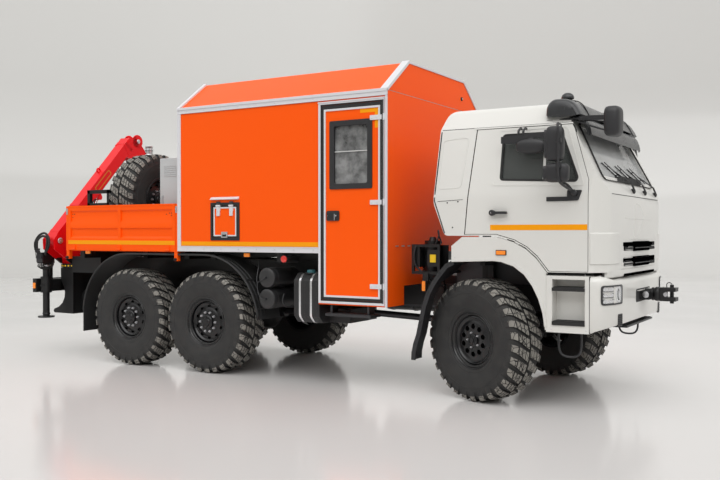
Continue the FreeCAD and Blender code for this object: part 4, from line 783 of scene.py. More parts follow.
def build_van_profiles(stripe):
    """Alloy profiles on the van's edges and the marking tape above the sill."""
    kit = Kit("alloy_trim")
    rear, front, floor, eave, ridge = (VAN[key] for key in ("rear", "front", "floor", "eave", "ridge"))
    y, top = BODY_Y, VAN["ridge_y"]
    for kit.side in (1, -1):
        low, end = (floor, front) if kit.side > 0 else (VAN["well"], DOOR[0] - 0.038)
        for x0, x1, z0, z1, proud in ((rear, end, floor - 0.006, floor + 0.062, 0.007),
                                      (rear, end, floor + 0.052, floor + 0.062, 0.012),
                                      (rear - 0.006, front + 0.006, eave - 0.058, eave + 0.02, 0.008),
                                      (rear - 0.006, front + 0.006, eave - 0.012, eave + 0.02, 0.016),
                                      (rear - 0.006, front + 0.006, eave - 0.058, eave - 0.046, 0.013),
                                      (rear - 0.006, rear + 0.05, floor - 0.006, eave, 0.009),
                                      (front - 0.02, front + 0.005, low - 0.004, eave, 0.009)):
            kit.box(x0, x1, y - 0.01, y + proud, z0, z1)
        kit.box(rear - 0.008, rear + 0.01, y - 0.052, y, floor - 0.006, eave)
        for x, wide in ((rear + 0.012, 0.045), (front - 0.034, 0.09)):
            kit.beam((x, y, eave + 0.006), (x, top, ridge + 0.006), wide, 0.034)
    for x in (rear - 0.001, front + 0.001):
        kit.beam((x, top, ridge - 0.004), (x, -top, ridge - 0.004), 0.02, 0.026)
    kit.box(rear - 0.008, rear + 0.01, -y, y, floor - 0.006, floor + 0.05)
    kit.box(rear - 0.006, rear + 0.01, -y, y, eave - 0.03, eave)
    for y in (-0.42, 0.42):
        kit.box(rear - 0.005, rear + 0.01, y - 0.016, y + 0.016, floor, eave)
    kit.make("van_profiles", "chassis", 0.0025)

    kit = Kit("stripe_amber")
    for kit.side, end in ((1, front - 0.04), (-1, DOOR[0] - 0.042)):
        kit.box(rear + 0.055, end, BODY_Y - 0.002, BODY_Y + 0.0016, floor + 0.066, floor + 0.066 + stripe)
    kit.make("van_stripes", "chassis", 0.0005, 1)

    kit = Kit("zinc_steel")
    for kit.side in (1, -1):
        for x in (rear + 0.16 + 0.27 * k for k in range(11)):
            if kit.side > 0 or x < DOOR[0] - 0.1:
                for z in (floor + 0.028, eave - 0.03):
                    kit.dome((x, BODY_Y + 0.007, z), AXLE, 0.008)
        for k in range(9):
            kit.dome((rear + 0.025, BODY_Y + 0.008, floor + 0.14 + 0.2 * k), AXLE, 0.007)
    for y in (1.03, 0.89, 0.75):
        kit.box(front, front + 0.012, y - 0.025, y + 0.025, 1.582, 1.596)
    kit.use("seal_rubber").dome((front, -0.69, 3.43), (1, 0, 0), 0.026)
    kit.use("zinc_steel").dome((front + 0.012, -0.69, 3.43), (1, 0, 0), 0.012)
    kit.make("van_rivets", "chassis", 0)


def build_van_door():
    """Frame, gasket, hinges, handle and window of the van door."""
    x0, x1, z0, z1 = DOOR
    y = BODY_Y
    kit = Kit("alloy_trim", side=-1)
    kit.frame_bar(rect(x0 - 0.036, x1 + 0.02, z0 - 0.036, z1 + 0.03),
                  rect(x0 - 0.008, x1 - 0.004, z0 - 0.01, z1 + 0.006), "y", y + 0.016, y - 0.002)
    kit.box(x0 - 0.04, x1 + 0.024, y + 0.022, y, z1 + 0.022, z1 + 0.036)
    kit.use("seal_rubber").frame_bar(rect(x0 - 0.012, x1 - 0.002, z0 - 0.014, z1 + 0.01),
                                     rect(x0 + 0.004, x1 - 0.03, z0 + 0.004, z1 - 0.004), "y", y + 0.009, y - 0.01)
    kit.box(x1 - 0.003, x1 + 0.014, y + 0.0165, y - 0.002, z0 - 0.012, z1 + 0.008)
    kit.make("van_door_frame", "chassis", 0.002)

    kit = Kit("seal_rubber", side=-1)
    leaf = (x0 + 0.007, x1 - 0.007, z0 + 0.007, z1 - 0.007)
    kit.surround(*leaf, (0.03, 0.045), 0, "y", y + 0.006, y - 0.004)
    kit.use("alloy_trim").surround(leaf[0] + 0.028, leaf[1] - 0.028, leaf[2] + 0.028, leaf[3] - 0.043,
                                   0.022, 0, "y", y + 0.011, y - 0.002)
    for z in (1.151, 2.066, 2.985):
        kit.tile(x1 - 0.085, z, 0.073, 0.026, 0.008, "y", y + 0.018, y + 0.004)
        kit.rod((x1 + 0.015, y + 0.012, z - 0.036), (x1 + 0.015, y + 0.012, z + 0.036), 0.0125, seg=20)
        for x in (x1 - 0.135, x1 - 0.075):
            kit.dome((x, y + 0.018, z), AXLE, 0.008)
    kit.use("stripe_amber").box(x1 - 0.29, x1 - 0.062, y + 0.0016, y - 0.002, z1 - 0.118, z1 - 0.076)
    kit.box(x1 - 0.104, x1 - 0.062, y + 0.0016, y - 0.002, z1 - 0.29, z1 - 0.118)
    kit.make("van_door_trim", "van_door", 0.0015)

    x0, x1, z0, z1 = WINDOW
    kit = Kit("trim_plastic", side=-1)
    kit.surround(x0 - 0.03, x1 + 0.03, z0 - 0.03, z1 + 0.03, 0.06, (0.02, 0.03), "y", y + 0.014, y - 0.02)
    kit.use("lining").box(x0 + 0.02, x1 - 0.02, y - 0.004, y - 0.012, 2.63, 2.642)
    kit.make("van_window_frame", "van_door", 0.004)

    kit = Kit("trim_plastic", side=-1)
    x, z = 1.905, 1.925
    kit.tile(x, z, 0.082, 0.056, 0.022, "y", y + 0.016, y - 0.002)
    kit.tile(x, z, 0.062, 0.036, 0.014, "y", y + 0.02, y + 0.008)
    kit.use("seal_rubber").tile(x - 0.018, z, 0.038, 0.03, 0.01, "y", y + 0.0205, y + 0.018)
    kit.use("zinc_steel").box(x + 0.026, x + 0.034, y + 0.028, y + 0.018, z - 0.05, z + 0.02)
    kit.dome((x + 0.046, y + 0.02, z), AXLE, 0.009)
    kit.dome((x - 0.07, y + 0.016, z), AXLE, 0.004)
    kit.make("van_door_handle", "van_door", 0.002)


def build_hatch():
    """Drip rail, gasket, frame, hinges and latch of the side hatch, and the folding step."""
    x0, x1, z0, z1 = HATCH
    y, mid = BODY_Y, (x0 + x1) / 2
    kit = Kit("alloy_trim", side=-1)
    kit.prism([(y + 0.03, z1 + 0.075), (y, z1 + 0.1), (y - 0.002, z1 + 0.072), (y + 0.028, z1 + 0.066)],
              "x", x0 - 0.018, x1 + 0.018)
    kit.use("seal_rubber").frame_bar(rect(x0 - 0.024, x1 + 0.024, z0 - 0.026, z1 + 0.032, 0.008),
                                     rect(x0 + 0.004, x1 - 0.004, z0 + 0.004, z1 - 0.004, 0.004),
                                     "y", y + 0.01, y - 0.01)
    kit.make("hatch_frame", "chassis", 0.002)

    kit = Kit("seal_rubber", side=-1)
    kit.surround(x0 + 0.006, x1 - 0.006, z0 + 0.006, z1 - 0.006, 0.02, 0, "y", y + 0.004, y - 0.003)
    kit.use("alloy_trim").surround(x0 + 0.024, x1 - 0.024, z0 + 0.024, z1 - 0.024, 0.016, 0, "y", y + 0.008, y - 0.002)
    for x in (x0 + 0.1, x1 - 0.1):
        kit.tile(x, z1 - 0.071, 0.024, 0.059, 0.008, "y", y + 0.017, y + 0.002)
        kit.rod((x - 0.032, y + 0.012, z1 - 0.008), (x + 0.032, y + 0.012, z1 - 0.008), 0.0125, seg=18)
        for z in (z1 - 0.112, z1 - 0.075):
            kit.dome((x, y + 0.017, z), AXLE, 0.007)
    kit.use("zinc_steel").tile(mid, z0 + 0.042, 0.048, 0.036, 0.01, "y", y + 0.02, y)
    kit.use("seal_rubber").tile(mid, z0 + 0.035, 0.03, 0.015, 0.008, "y", y + 0.021, y + 0.018)
    kit.use("zinc_steel").tile(mid - 0.002, z0 + 0.054, 0.032, 0.01, 0.006, "y", y + 0.03, y + 0.018)
    kit.make("hatch_trim", "hatch_lid", 0.0015)

    kit = Kit("dark_steel", side=-1)
    for k in range(9):
        kit.box(1.792, 2.378, y - 0.018 - 0.025 * k, y - 0.027 - 0.025 * k, 0.827, 0.8335)
    for x in (1.83, 2.31):
        kit.beam((x + 0.012, y - 0.05, 0.815), (x + 0.012, y - 0.17, VAN["well"]), 0.02, 0.012)
        kit.bolt((x - 0.002, y - 0.12, 0.88), (-1, 0, 0), 0.008)
    kit.make("van_step_treads", "chassis", 0.001, 1)


# ------------------------------------------------------------------ bed

BED_REAR, BED_FRONT, BED_FLOOR, BED_TOP = -2.47, -0.422, 1.5, 2.1
SIDE_PRESSING = [(2.1, 0), (2.036, 0), (2.016, -0.018), (1.905, -0.018), (1.875, 0), (1.8, 0), (1.784, -0.018),
                 (1.69, -0.018), (1.662, 0), (1.5, 0), (1.5, -0.03), (2.1, -0.03)]


def build_bed(stripe):
    """Bed floor and boards, and the two pressed drop sides with their hinges and stripe."""
    recast("bed", "chassis", "body_orange deck", 0.004, (lambda c, n: n.z > 0.9 and 1.55 < c.z < 1.58,))
    kit = Kit("body_orange")
    x = BED_REAR
    for z0, z1 in ((BED_FLOOR, 1.56), (1.775, 1.815), (2.06, BED_TOP)):
        kit.box(x - 0.014, x + 0.004, -1.2, 1.2, z0, z1)
    for y in (-1.19, -0.4, 0.4, 1.19):
        kit.box(x - 0.012, x + 0.004, y - 0.025, y + 0.025, BED_FLOOR, BED_TOP)
    kit.use("stripe_amber").box(x - 0.0155, x + 0.004, -1.15, 1.15, 1.582, 1.582 + stripe)
    kit.make("bed_tail_pressing", "chassis", 0.003)

    x0, x1, y = BED_REAR + 0.04, BED_FRONT - 0.04, BODY_Y
    mid = (x0 + x1) / 2
    for name, side in SIDES:
        kit = Kit("body_orange", side=side)
        for a, b in ((x0 + 0.045, mid - 0.022), (mid + 0.022, x1 - 0.045)):
            kit.prism([(y + d, z) for z, d in SIDE_PRESSING], "x", a, b)
        for a, b in ((x0, x0 + 0.05), (mid - 0.026, mid + 0.026), (x1 - 0.05, x1)):
            kit.box(a, b, y - 0.03, y + 0.002, BED_FLOOR, BED_TOP)
        kit.box(x0, x1, y - 0.032, y + 0.004, 2.082, 2.104)
        for x in (BED_REAR + 0.16, mid, BED_FRONT - 0.16):
            kit.rod((x - 0.035, 1.265, 1.515), (x + 0.035, 1.265, 1.515), 0.011, seg=16)
            kit.prism([(x - 0.034, 1.515), (x + 0.034, 1.515), (x + 0.034, 1.56), (x + 0.02, 1.578),
                       (x - 0.02, 1.578), (x - 0.034, 1.56)], "y", y - 0.002, y + 0.012)
            for dx in (-0.018, 0.018):
                kit.bolt((x + dx, y + 0.011, 1.552), AXLE, 0.006)
        kit.use("stripe_amber").box(x0 + 0.005, x1 - 0.005, y - 0.002, y + 0.0036, 1.582, 1.582 + stripe)
        # small holes drawn as flat black discs, their darkness painted shade
        kit.use("seal_rubber")
        for x, z in ((x0 + 0.075, 1.99), (x0 + 0.075, 1.945), (x0 + 0.11, 1.99), (x1 - 0.075, 1.985),
                     (x1 - 0.11, 1.985), (x1 - 0.075, 1.955), (x1 - 0.16, 1.97)):
            kit.lathe([(0.008, 0), (0, 0)], (x, y - 0.0175, z), AXLE, 10)
        node = "bed_side_" + name
        kit.make(node + "_pressing", node, 0.003, replaces=(node,))

        kit = Kit("trim_plastic", side=side)
        for x in (BED_REAR + 0.028, BED_FRONT - 0.032):
            kit.rod((x, y - 0.01, 1.4), (x, y + 0.02, 1.4), 0.02, 0.017, 14)
            kit.rod((x, y + 0.018, 1.4), (x, y + 0.034, 1.4), 0.012, 0.01, 10)
        kit.use("zinc_steel")
        for x, reach in ((BED_REAR + 0.018, 0.022), (BED_FRONT - 0.018, 0.0132)):
            kit.prism(rect(x - 0.012, x + reach, 1.985, 2.07, 0.006), "y", y - 0.001, y + 0.006)
            kit.rod((x, y, 2.03), (x, y + 0.016, 2.03), 0.009, seg=12)
        kit.make("bed_latches_" + name, "chassis", 0.0015, 1)


# ------------------------------------------------------------------ cab
# Numbers along X start at the front axle here, in the wheel arches and inside the cab.

NOSE, BACK = 1.28, -0.55
DOOR_GLASS = [(0.19, 2.27), (0.95, 2.235), (0.965, 2.27), (0.79, 2.715), (0.2, 2.715)]
SCREEN = [(-1.01, 2.29), (1.01, 2.29), (0.9, 2.79), (-0.9, 2.79)]
CAB_MIDDLE = Vector((0.35, 0, 2.15))


def faces_in(c, n):
    """A zone test: a face of the cab that looks into it."""
    return n.dot(CAB_MIDDLE - c) > 0 and abs(c.y) < 1.19 and c.x < NOSE - 0.05


def edge_of_opening(c, n):
    """A zone test: the edge of a door opening or of a door."""
    return abs(n.y) < 0.3 and 1.05 < abs(c.y) < 1.25 and -0.25 < c.x < 1.09 and 1.36 < c.z < 2.8 \
        and max(abs(n.x), abs(n.z)) > 0.3


def build_cab_body():
    """Cab shell and doors with rounded edges, dark openings and a pale lining."""
    grille = lambda c, n: c.x > NOSE - 0.1 and abs(c.y) < 0.705 and n.x < 0.99 \
        and any(low - 0.001 < c.z < low + 0.041 for low in (1.44, 1.6))
    recast("cab_shell", "cab", "cab_white seal_rubber lining seal_rubber", 0.004,
           (edge_of_opening, faces_in, grille), at=AXLE_X)
    for name, _ in SIDES:
        recast("cab_door_" + name, "cab_door_" + name, "cab_white seal_rubber lining trim_plastic", 0.003,
               (lambda c, n: edge_of_opening(c, n) and abs(c.y) < 1.236,
                lambda c, n: n.y * c.y < -0.3 * abs(c.y) and abs(c.y) < 1.2,
                lambda c, n: abs(c.y) > 1.241), at=AXLE_X)


def lip(kit, skin, count, step, section):
    """A bar under the cab's front: (depth, height) points swept along Y over its curve."""
    kit.sweep([[(skin.at(y, 1.38) + d, y, z) for d, z in section]
               for y in (step * (k - (count - 1) / 2) for k in range(count))])


def build_cab_seams():
    """Seals, seams and pressed lines of the cab."""
    kit = Kit("seal_rubber", AXLE_X)
    front = Skin("x", 1, "cab_shell", AXLE_X)
    flanks = {side: Skin("y", side, "cab_shell", AXLE_X) for side in (1, -1)}
    screen = dense(round_path(SCREEN, 0.045), 0.12, True)
    ribbon(kit, front, grown(screen, (0, 2.54), 1.006, 1.03), 0.06, 0.019)
    tunnel(kit, front, grown(screen, (0, 2.54), 0.994, 0.985), 0.03, 0.004)
    ribbon(kit, front, dense([(-1.0, 2.112), (1.0, 2.112)], 0.1), 0.007, 0.0012, False)
    for kit.side, skin in flanks.items():
        ribbon(kit, skin, dense([(BACK + 0.06, 2.808), (0.9, 2.808)], 0.15), 0.006, 0.0015, False)
        ribbon(kit, skin, [(BACK + 0.05, 2.06), (-0.215, 2.075)], 0.005, 0.0012, False)
        ribbon(kit, skin, dense([(BACK + 0.055, 2.79), (BACK + 0.012, 2.07), (BACK + 0.13, 1.73)], 0.12),
               0.012, 0.0015, False)
        for x, z in ((BACK + 0.16, 2.045), (-0.27, 2.055), (-0.33, 1.79)):
            kit.dome((x, skin.at(x, z), z), AXLE, 0.008)
    kit.make("cab_seals", "cab", 0)

    kit = Kit("cab_white", AXLE_X)
    lip(kit, front, 25, 0.09, ((-0.03, 1.37), (0.0, 1.372), (0.002, 1.33), (-0.004, 1.306), (-0.016, 1.3),
                               (-0.03, 1.31)))
    ribbon(kit, front, dense([(-0.62, 1.882), (0.62, 1.882)], 0.12), 0.012, 0.003, False)
    for z in (1.42, 1.58):
        ribbon(kit, front, dense(rect(-0.74, 0.74, z - 0.012, z + 0.092, 0.02), 0.12, True), 0.01, 0.0025)
    for kit.side, skin in flanks.items():
        pressed = round_path([(BACK + 0.08, 2.7), (-0.18, 2.72), (-0.245, 2.2), (BACK + 0.05, 2.19)], 0.05)
        ribbon(kit, skin, dense(pressed, 0.1, True), 0.012, 0.0035)
        ribbon(kit, skin, dense([(-0.13, 2.8), (0.9, 2.8)], 0.15), 0.014, 0.006, False)
        wrap(kit, skin, 1.43, 1.742, 0.011)
    kit.make("cab_pressings", "cab", 0.0015, 1)


def wrap(kit, skin, z0, z1, lift, under=-0.004):
    """A raised panel round the cab's front corner."""
    columns = []
    for k in range(13):
        a = radians(-66 + 66 * k / 12)
        way = Vector((cos(a), skin.way * abs(sin(a)), 0))
        column = []
        for z, out in ((z0, under), (z0 + 0.006, lift), (z1 - 0.016, lift), (z1, under)):
            hit = skin.tree.ray_cast(Vector((0.85, skin.way * 0.8, z)) + way * 0.9, -way)[0]
            column.append(kit.bm.verts.new(hit + way * (out if 0 < k < 12 else under)))
        columns.append(column)
    kit.join(columns, turns=False)


def build_door_trim(stripe):
    """Gaskets, stripes, handles, locks and mirror feet of the two doors."""
    for name, side in SIDES:
        body = "cab_door_" + name
        skin = Skin("y", side, body, AXLE_X)
        pane = Skin("y", side, "door_glass_" + name, AXLE_X)
        kit = Kit("seal_rubber", AXLE_X, side)
        glass = round_path(DOOR_GLASS, 0.03)
        ribbon(kit, skin, dense(grown(glass, (0.55, 2.48), 1.012), 0.12, True), 0.02, 0.004)
        tunnel(kit, skin, grown(glass, (0.55, 2.48), 0.99), 0.03, 0.003)
        ribbon(kit, pane, [(0.775, 2.25), (0.705, 2.71)], 0.016, 0.014, False)
        kit.use("cab_white")
        ribbon(kit, pane, dense([(0.63, 2.25), (0.63, 2.71)], 0.15), 0.024, 0.012, False)
        pressed = round_path([(0.1, 2.215), (1.03, 2.19), (0.85, 2.765), (0.13, 2.765)], 0.03)
        ribbon(kit, skin, dense(pressed[:-4], 0.12), 0.014, 0.004, False)
        kit.use("stripe_amber")
        ribbon(kit, skin, dense([(0.085, 1.788), (1.07, 1.788)], 0.12), stripe * 1.05, 0.0014, False, 0.002)
        kit.use("trim_plastic")
        x, y, z = 0.117, skin.at(0.2, 1.935), 1.935
        plate(kit, skin, [(x - 0.032 * c, z + 0.026 * s) for c, s in circle(16)], 0.012, flat=True)
        kit.prism(rect(x, x + 0.16, 1.922, 1.948, 0.01), "y", y + 0.012, y + 0.03)
        kit.lathe([(0.03, -0.006), (0.03, 0.016), (0.026, 0.022), (0.014, 0.024), (0.012, 0.02), (0, 0.02)],
                  (x, y, z), AXLE, 20)
        kit.use("zinc_steel").dome((x, y + 0.021, z), AXLE, 0.01)
        kit.use("trim_plastic")
        plate(kit, skin, round_path([(0.876, 2.145), (1.02, 2.142), (0.985, 2.045), (0.876, 2.04)], 0.012), 0.014)
        plate(kit, skin, rect(0.67, 0.885, 2.04, 2.082, 0.006), 0.008)
        for x, z in ((0.895, 2.06), (0.98, 2.06), (0.895, 2.12), (0.98, 2.12)):
            kit.bolt((x, 1.263, z), AXLE, 0.006)
        kit.make("door_trim_" + name, body, 0.001, 1)


def build_mirrors():
    """Mirror heads with their glass on bent masts, and the small mirror over the right window."""
    for name, side in SIDES:
        x, y = 0.83, 1.44
        kit = Kit("trim_plastic", AXLE_X, side)
        kit.pebble((x - 0.01, y, 2.575), (0.085, 0.068, 0.165), 0.42, 0.6)
        kit.pebble((x + 0.01, y, 2.3), (0.115, 0.066, 0.09), 0.45, 0.6)
        kit.pipe([(x + 0.115, 1.268, 2.12), (x + 0.07, 1.31, 2.19), (x + 0.02, 1.36, 2.24), (x + 0.005, 1.375, 2.4),
                  (x, 1.375, 2.6), (x - 0.01, 1.35, 2.73), (x - 0.06, 1.22, 2.785)], 0.013, 12)
        kit.pipe([(x + 0.02, 1.42, 2.62), (x + 0.035, 1.4, 2.74), (x - 0.01, 1.3, 2.775), (x - 0.07, 1.21, 2.78)],
                 0.009, 10)
        kit.pipe([(x + 0.02, 1.44, 2.765), (x + 0.04, 1.515, 2.74), (x + 0.045, 1.522, 2.62),
                  (x + 0.045, 1.52, 2.4), (x + 0.05, 1.515, 2.24), (x + 0.06, 1.45, 2.19), (x + 0.1, 1.3, 2.14)],
                 0.012, 10)
        for z in (2.36, 2.6):
            kit.beam((x + 0.045, 1.49, z), (x + 0.045, 1.525, z), 0.05, 0.04)
        kit.lathe([(0.03, 0), (0.03, 0.018), (0.02, 0.03), (0, 0.03)], (x + 0.12, 1.26, 2.115), (0, 1, 0.2), 18)
        for z in (2.46, 2.66, 2.3):
            kit.rod((x, 1.375, z - 0.024), (x, 1.375, z + 0.024), 0.024, seg=20)
            kit.beam((x, 1.375, z), (x, 1.42, z), 0.03, 0.03)
        for z, high, wide, at in ((2.575, 0.135, 0.054, x - 0.1), (2.3, 0.068, 0.052, x - 0.112)):
            kit.use("trim_plastic").surround(y - wide, y + wide, z - high, z + high, 0.006, (0.035, 0.03),
                                             "x", at - 0.001, at + 0.03)
            kit.use("chrome").tile(y, z, wide - 0.004, high - 0.004, 0.03, "x", at + 0.001, at + 0.012)
        kit.make("mirrors_" + name, "cab_door_" + name, 0, replaces=("mirror_" + name,))

    kit = Kit("trim_plastic", AXLE_X, -1)
    x = 0.523
    kit.pebble((x, 1.285, 2.578), (0.15, 0.042, 0.072), 0.75, 0.8)
    kit.prism([(0.211, 2.688), (0.211, 2.622), (0.451, 2.612), (0.512, 2.661), (0.694, 2.651), (0.694, 2.703),
               (0.512, 2.712), (0.43, 2.7)], "y", 1.272, 1.25)
    kit.beam((x, 1.262, 2.66), (x, 1.28, 2.6), 0.05, 0.02)
    for dx in (x - 0.13, x - 0.08):
        kit.pipe([(dx, 1.262, 2.69), (dx, 1.265, 2.735), (dx, 1.215, 2.765), (dx, 1.18, 2.765)], 0.012, 10, 4)
    kit.make("kerb_mirror", "cab_door_right", 0)


def build_roof_gear():
    """Deflector, visor and beacon above the windshield, and the mirror that looks down at the bumper."""
    x, top = 0.87, 3.03
    section = round_path([(-0.254, -0.19), (-0.25, -0.05), (-0.19, 0.022), (-0.05, 0.022), (0.03, -0.016),
                          (0.075, -0.08), (0.132, -0.19)], 0.045, 5)[5:-5]
    half = [(1.166, 0.5), (1.164, 0.78), (1.152, 0.88), (1.125, 0.95), (1.06, 0.99), (0.9, 1.0), (0.45, 1.015)]
    kit = Kit("gloss_plastic", AXLE_X)
    kit.sweep([[(x + u, y, top + v) for u, v in grown(section, (-0.06, -0.19), by)]
               for y, by in [(-y, by) for y, by in half] + [(0, 1.02)] + half[::-1]])
    kit.lathe([(0.045, -0.06), (0.047, 0.03), (0.062, 0.036), (0.064, 0.05), (0.054, 0.075), (0.032, 0.092),
               (0, 0.098)], (NOSE - 0.5, -0.93, top), (0, 0, 1), 28)
    kit.use("seal_rubber")
    for y in (-0.86, 0.86):
        kit.pipe([(x + u, y, top + v) for u, v in ((-0.2, 0.019), (-0.05, 0.025), (0.03, -0.011), (0.075, -0.075),
                                                   (0.125, -0.174))], 0.006, 6, 3)
    visor = round_path([(0.03, -0.168), (0.045, -0.145), (0.1, -0.165), (0.15, -0.215), (0.178, -0.29),
                        (0.186, -0.345), (0.176, -0.348), (0.158, -0.285), (0.105, -0.2)], 0.02, 3)
    kit.use("gloss_plastic").sweep([[(x + u - drop * 0.6, y, top + v - drop * 0.4) for u, v in visor] for y, drop in
                                    ((-1.08, 0.03), (-1.05, 0), (0, 0), (0.945, 0), (0.975, 0.03))])
    kit.use("trim_plastic")
    for y in (-0.99, 0, 0.95):
        kit.bolt((x + 0.004, y, top - 0.01), (0.4, 0, 1), 0.011)
        kit.beam((x + 0.02, y, top - 0.17), (x + 0.11, y, top - 0.21), 0.03, 0.012)
    kit.side = -1
    head = Vector((NOSE, 1.11, 2.79))
    kit.pebble(head, (0.078, 0.125, 0.142), 0.42, 0.6)
    kit.pipe([(x - 0.19, 1.09, 2.835), (x - 0.05, 1.115, 2.84), (x + 0.1, 1.12, 2.84), (x + 0.3, 1.12, 2.83),
              head + Vector((-0.02, 0, 0.03))], 0.012, 12, 5)
    kit.pipe([(x + 0.02, 1.03, 2.83), (x + 0.12, 1.07, 2.825), (x + 0.28, 1.11, 2.8), head - Vector((0.03, 0, 0))],
             0.008, 10, 5)
    kit.pipe([(x + 0.02, 1.1, 2.83), (x + 0.2, 1.12, 2.76), (x + 0.34, 1.15, 2.71)], 0.009, 10, 4)
    kit.beam((x - 0.21, 1.06, 2.828), (x - 0.21, 1.12, 2.83), 0.06, 0.026)
    kit.beam((x + 0.08, 1.115, 2.842), (x + 0.36, 1.165, 2.828), 0.02, 0.045)
    kit.beam((x - 0.16, 1.09, 2.835), (x - 0.24, 1.09, 2.835), 0.03, 0.03)
    kit.use("chrome").tile(head.y, head.z, 0.07, 0.08, 0.05, "x", head.x - 0.074, head.x - 0.06)
    kit.make("roof_gear", "cab", 0.0015, 1, replaces=("roof_trim",))


def build_screen_gear():
    """Three wipers on the windshield, and the pressed vents of the cab's front, with painted shade behind the vents and
    under the front lip.
    """
    pane, shell = (Skin("x", 1, node) for node in ("cab_glass", "cab_shell"))
    kit = Kit("trim_plastic")
    for y in (-0.07, 0.44, 0.95):
        foot = Vector((shell.at(y, 2.172), y, 2.172))
        kit.lathe([(0.03, -0.01), (0.028, 0.016), (0.018, 0.026), (0, 0.028)], foot, (1, 0, 0.2), 16)
        blade = [(y - 0.22 - 0.42 * t, 2.29 + 0.15 * t) for t in (0, 0.25, 0.5, 0.75, 1)]
        spine, edge = ([Vector((pane.at(*p) + out, p[0], p[1] - drop)) for p in blade if pane.at(*p)]
                       for out, drop in ((0.034, 0), (0.008, 0.004)))
        for starts, ends, wide, high in ((spine, spine[1:], 0.008, 0.01), (edge, edge[1:], 0.012, 0.006),
                                         (spine[1::2], edge[1::2], 0.01, 0.01)):
            for a, b in zip(starts, ends):
                kit.beam(a, b, wide, high)
        knee = foot + Vector((0.022, 0, 0))
        elbow = Vector((shell.at(y - 0.1, 2.24) + 0.05, y - 0.1, 2.25))
        kit.beam(knee, elbow, 0.018, 0.012)
        kit.beam(elbow, spine[len(spine) // 2], 0.01, 0.01)
        kit.beam(knee - Vector((0, 0.03, 0)), elbow - Vector((0, 0.025, -0.012)), 0.008, 0.008)
    kit.make("wipers", "cab", 0.002, 1)

    # painted shade: a black strip under the cab's front lip
    kit = Kit("dark_hollow")
    lip(kit, shell, 23, 0.06, ((0.0055, 1.328), (0.003, 1.3005), (-0.02, 1.299), (-0.02, 1.328)))
    for z0, z1 in ((1.402, 1.488), (1.558, 1.642)):
        # painted shade: black sheets behind the vent slats
        kit.use("dark_hollow")
        panel(kit, shell, (-0.68, 0.68, z0, z1, 0.012), 0.005)
        panel(kit, shell, (-0.34, 0.34, z0 - 0.01, z1 + 0.006, 0.016), 0.017)
        kit.use("trim_plastic")
        for dz in (0.02, 0.045, 0.07):
            panel(kit, shell, (-0.32, 0.32, z0 + dz, z0 + dz + 0.008), 0.021, 0.1)
        for side in (1, -1):
            for y in (side * (0.36 + 0.0145 * k) for k in range(22)):
                plate(kit, shell, rect(y - 0.002, y + 0.002, z0 + 0.01, z1 - 0.01), 0.009)
            for z in (z0 + 0.014 + 0.0135 * k for k in range(5)):
                panel(kit, shell, (side * 0.35, side * 0.67, z, z + 0.004), 0.009, 0.1)
    kit.use("lamp_grey")
    plate(kit, shell, rect(1.1, 1.155, 1.45, 1.66), 0.014, 0.01)
    kit.make("cab_grilles", "cab", 0)


# ------------------------------------------------------------------ front end

BUMPER_X = AXLE_X + 1.3
ARCH_LIP = [(-0.33, 1.452), (0.12, 1.468), (0.21, 1.46), (0.345, 1.417), (0.458, 1.333), (0.545, 1.216),
            (0.606, 1.094), (0.65, 0.955), (0.664, 0.82)]
FLAP = [(-0.335, 1.452), (-0.42, 1.41), (-0.5, 1.32), (-0.575, 1.22), (-0.64, 1.1), (-0.69, 0.96), (-0.725, 0.8),
        (-0.755, 0.66), (-0.79, 0.56), (-0.812, 0.46), (-0.814, 0.385)]


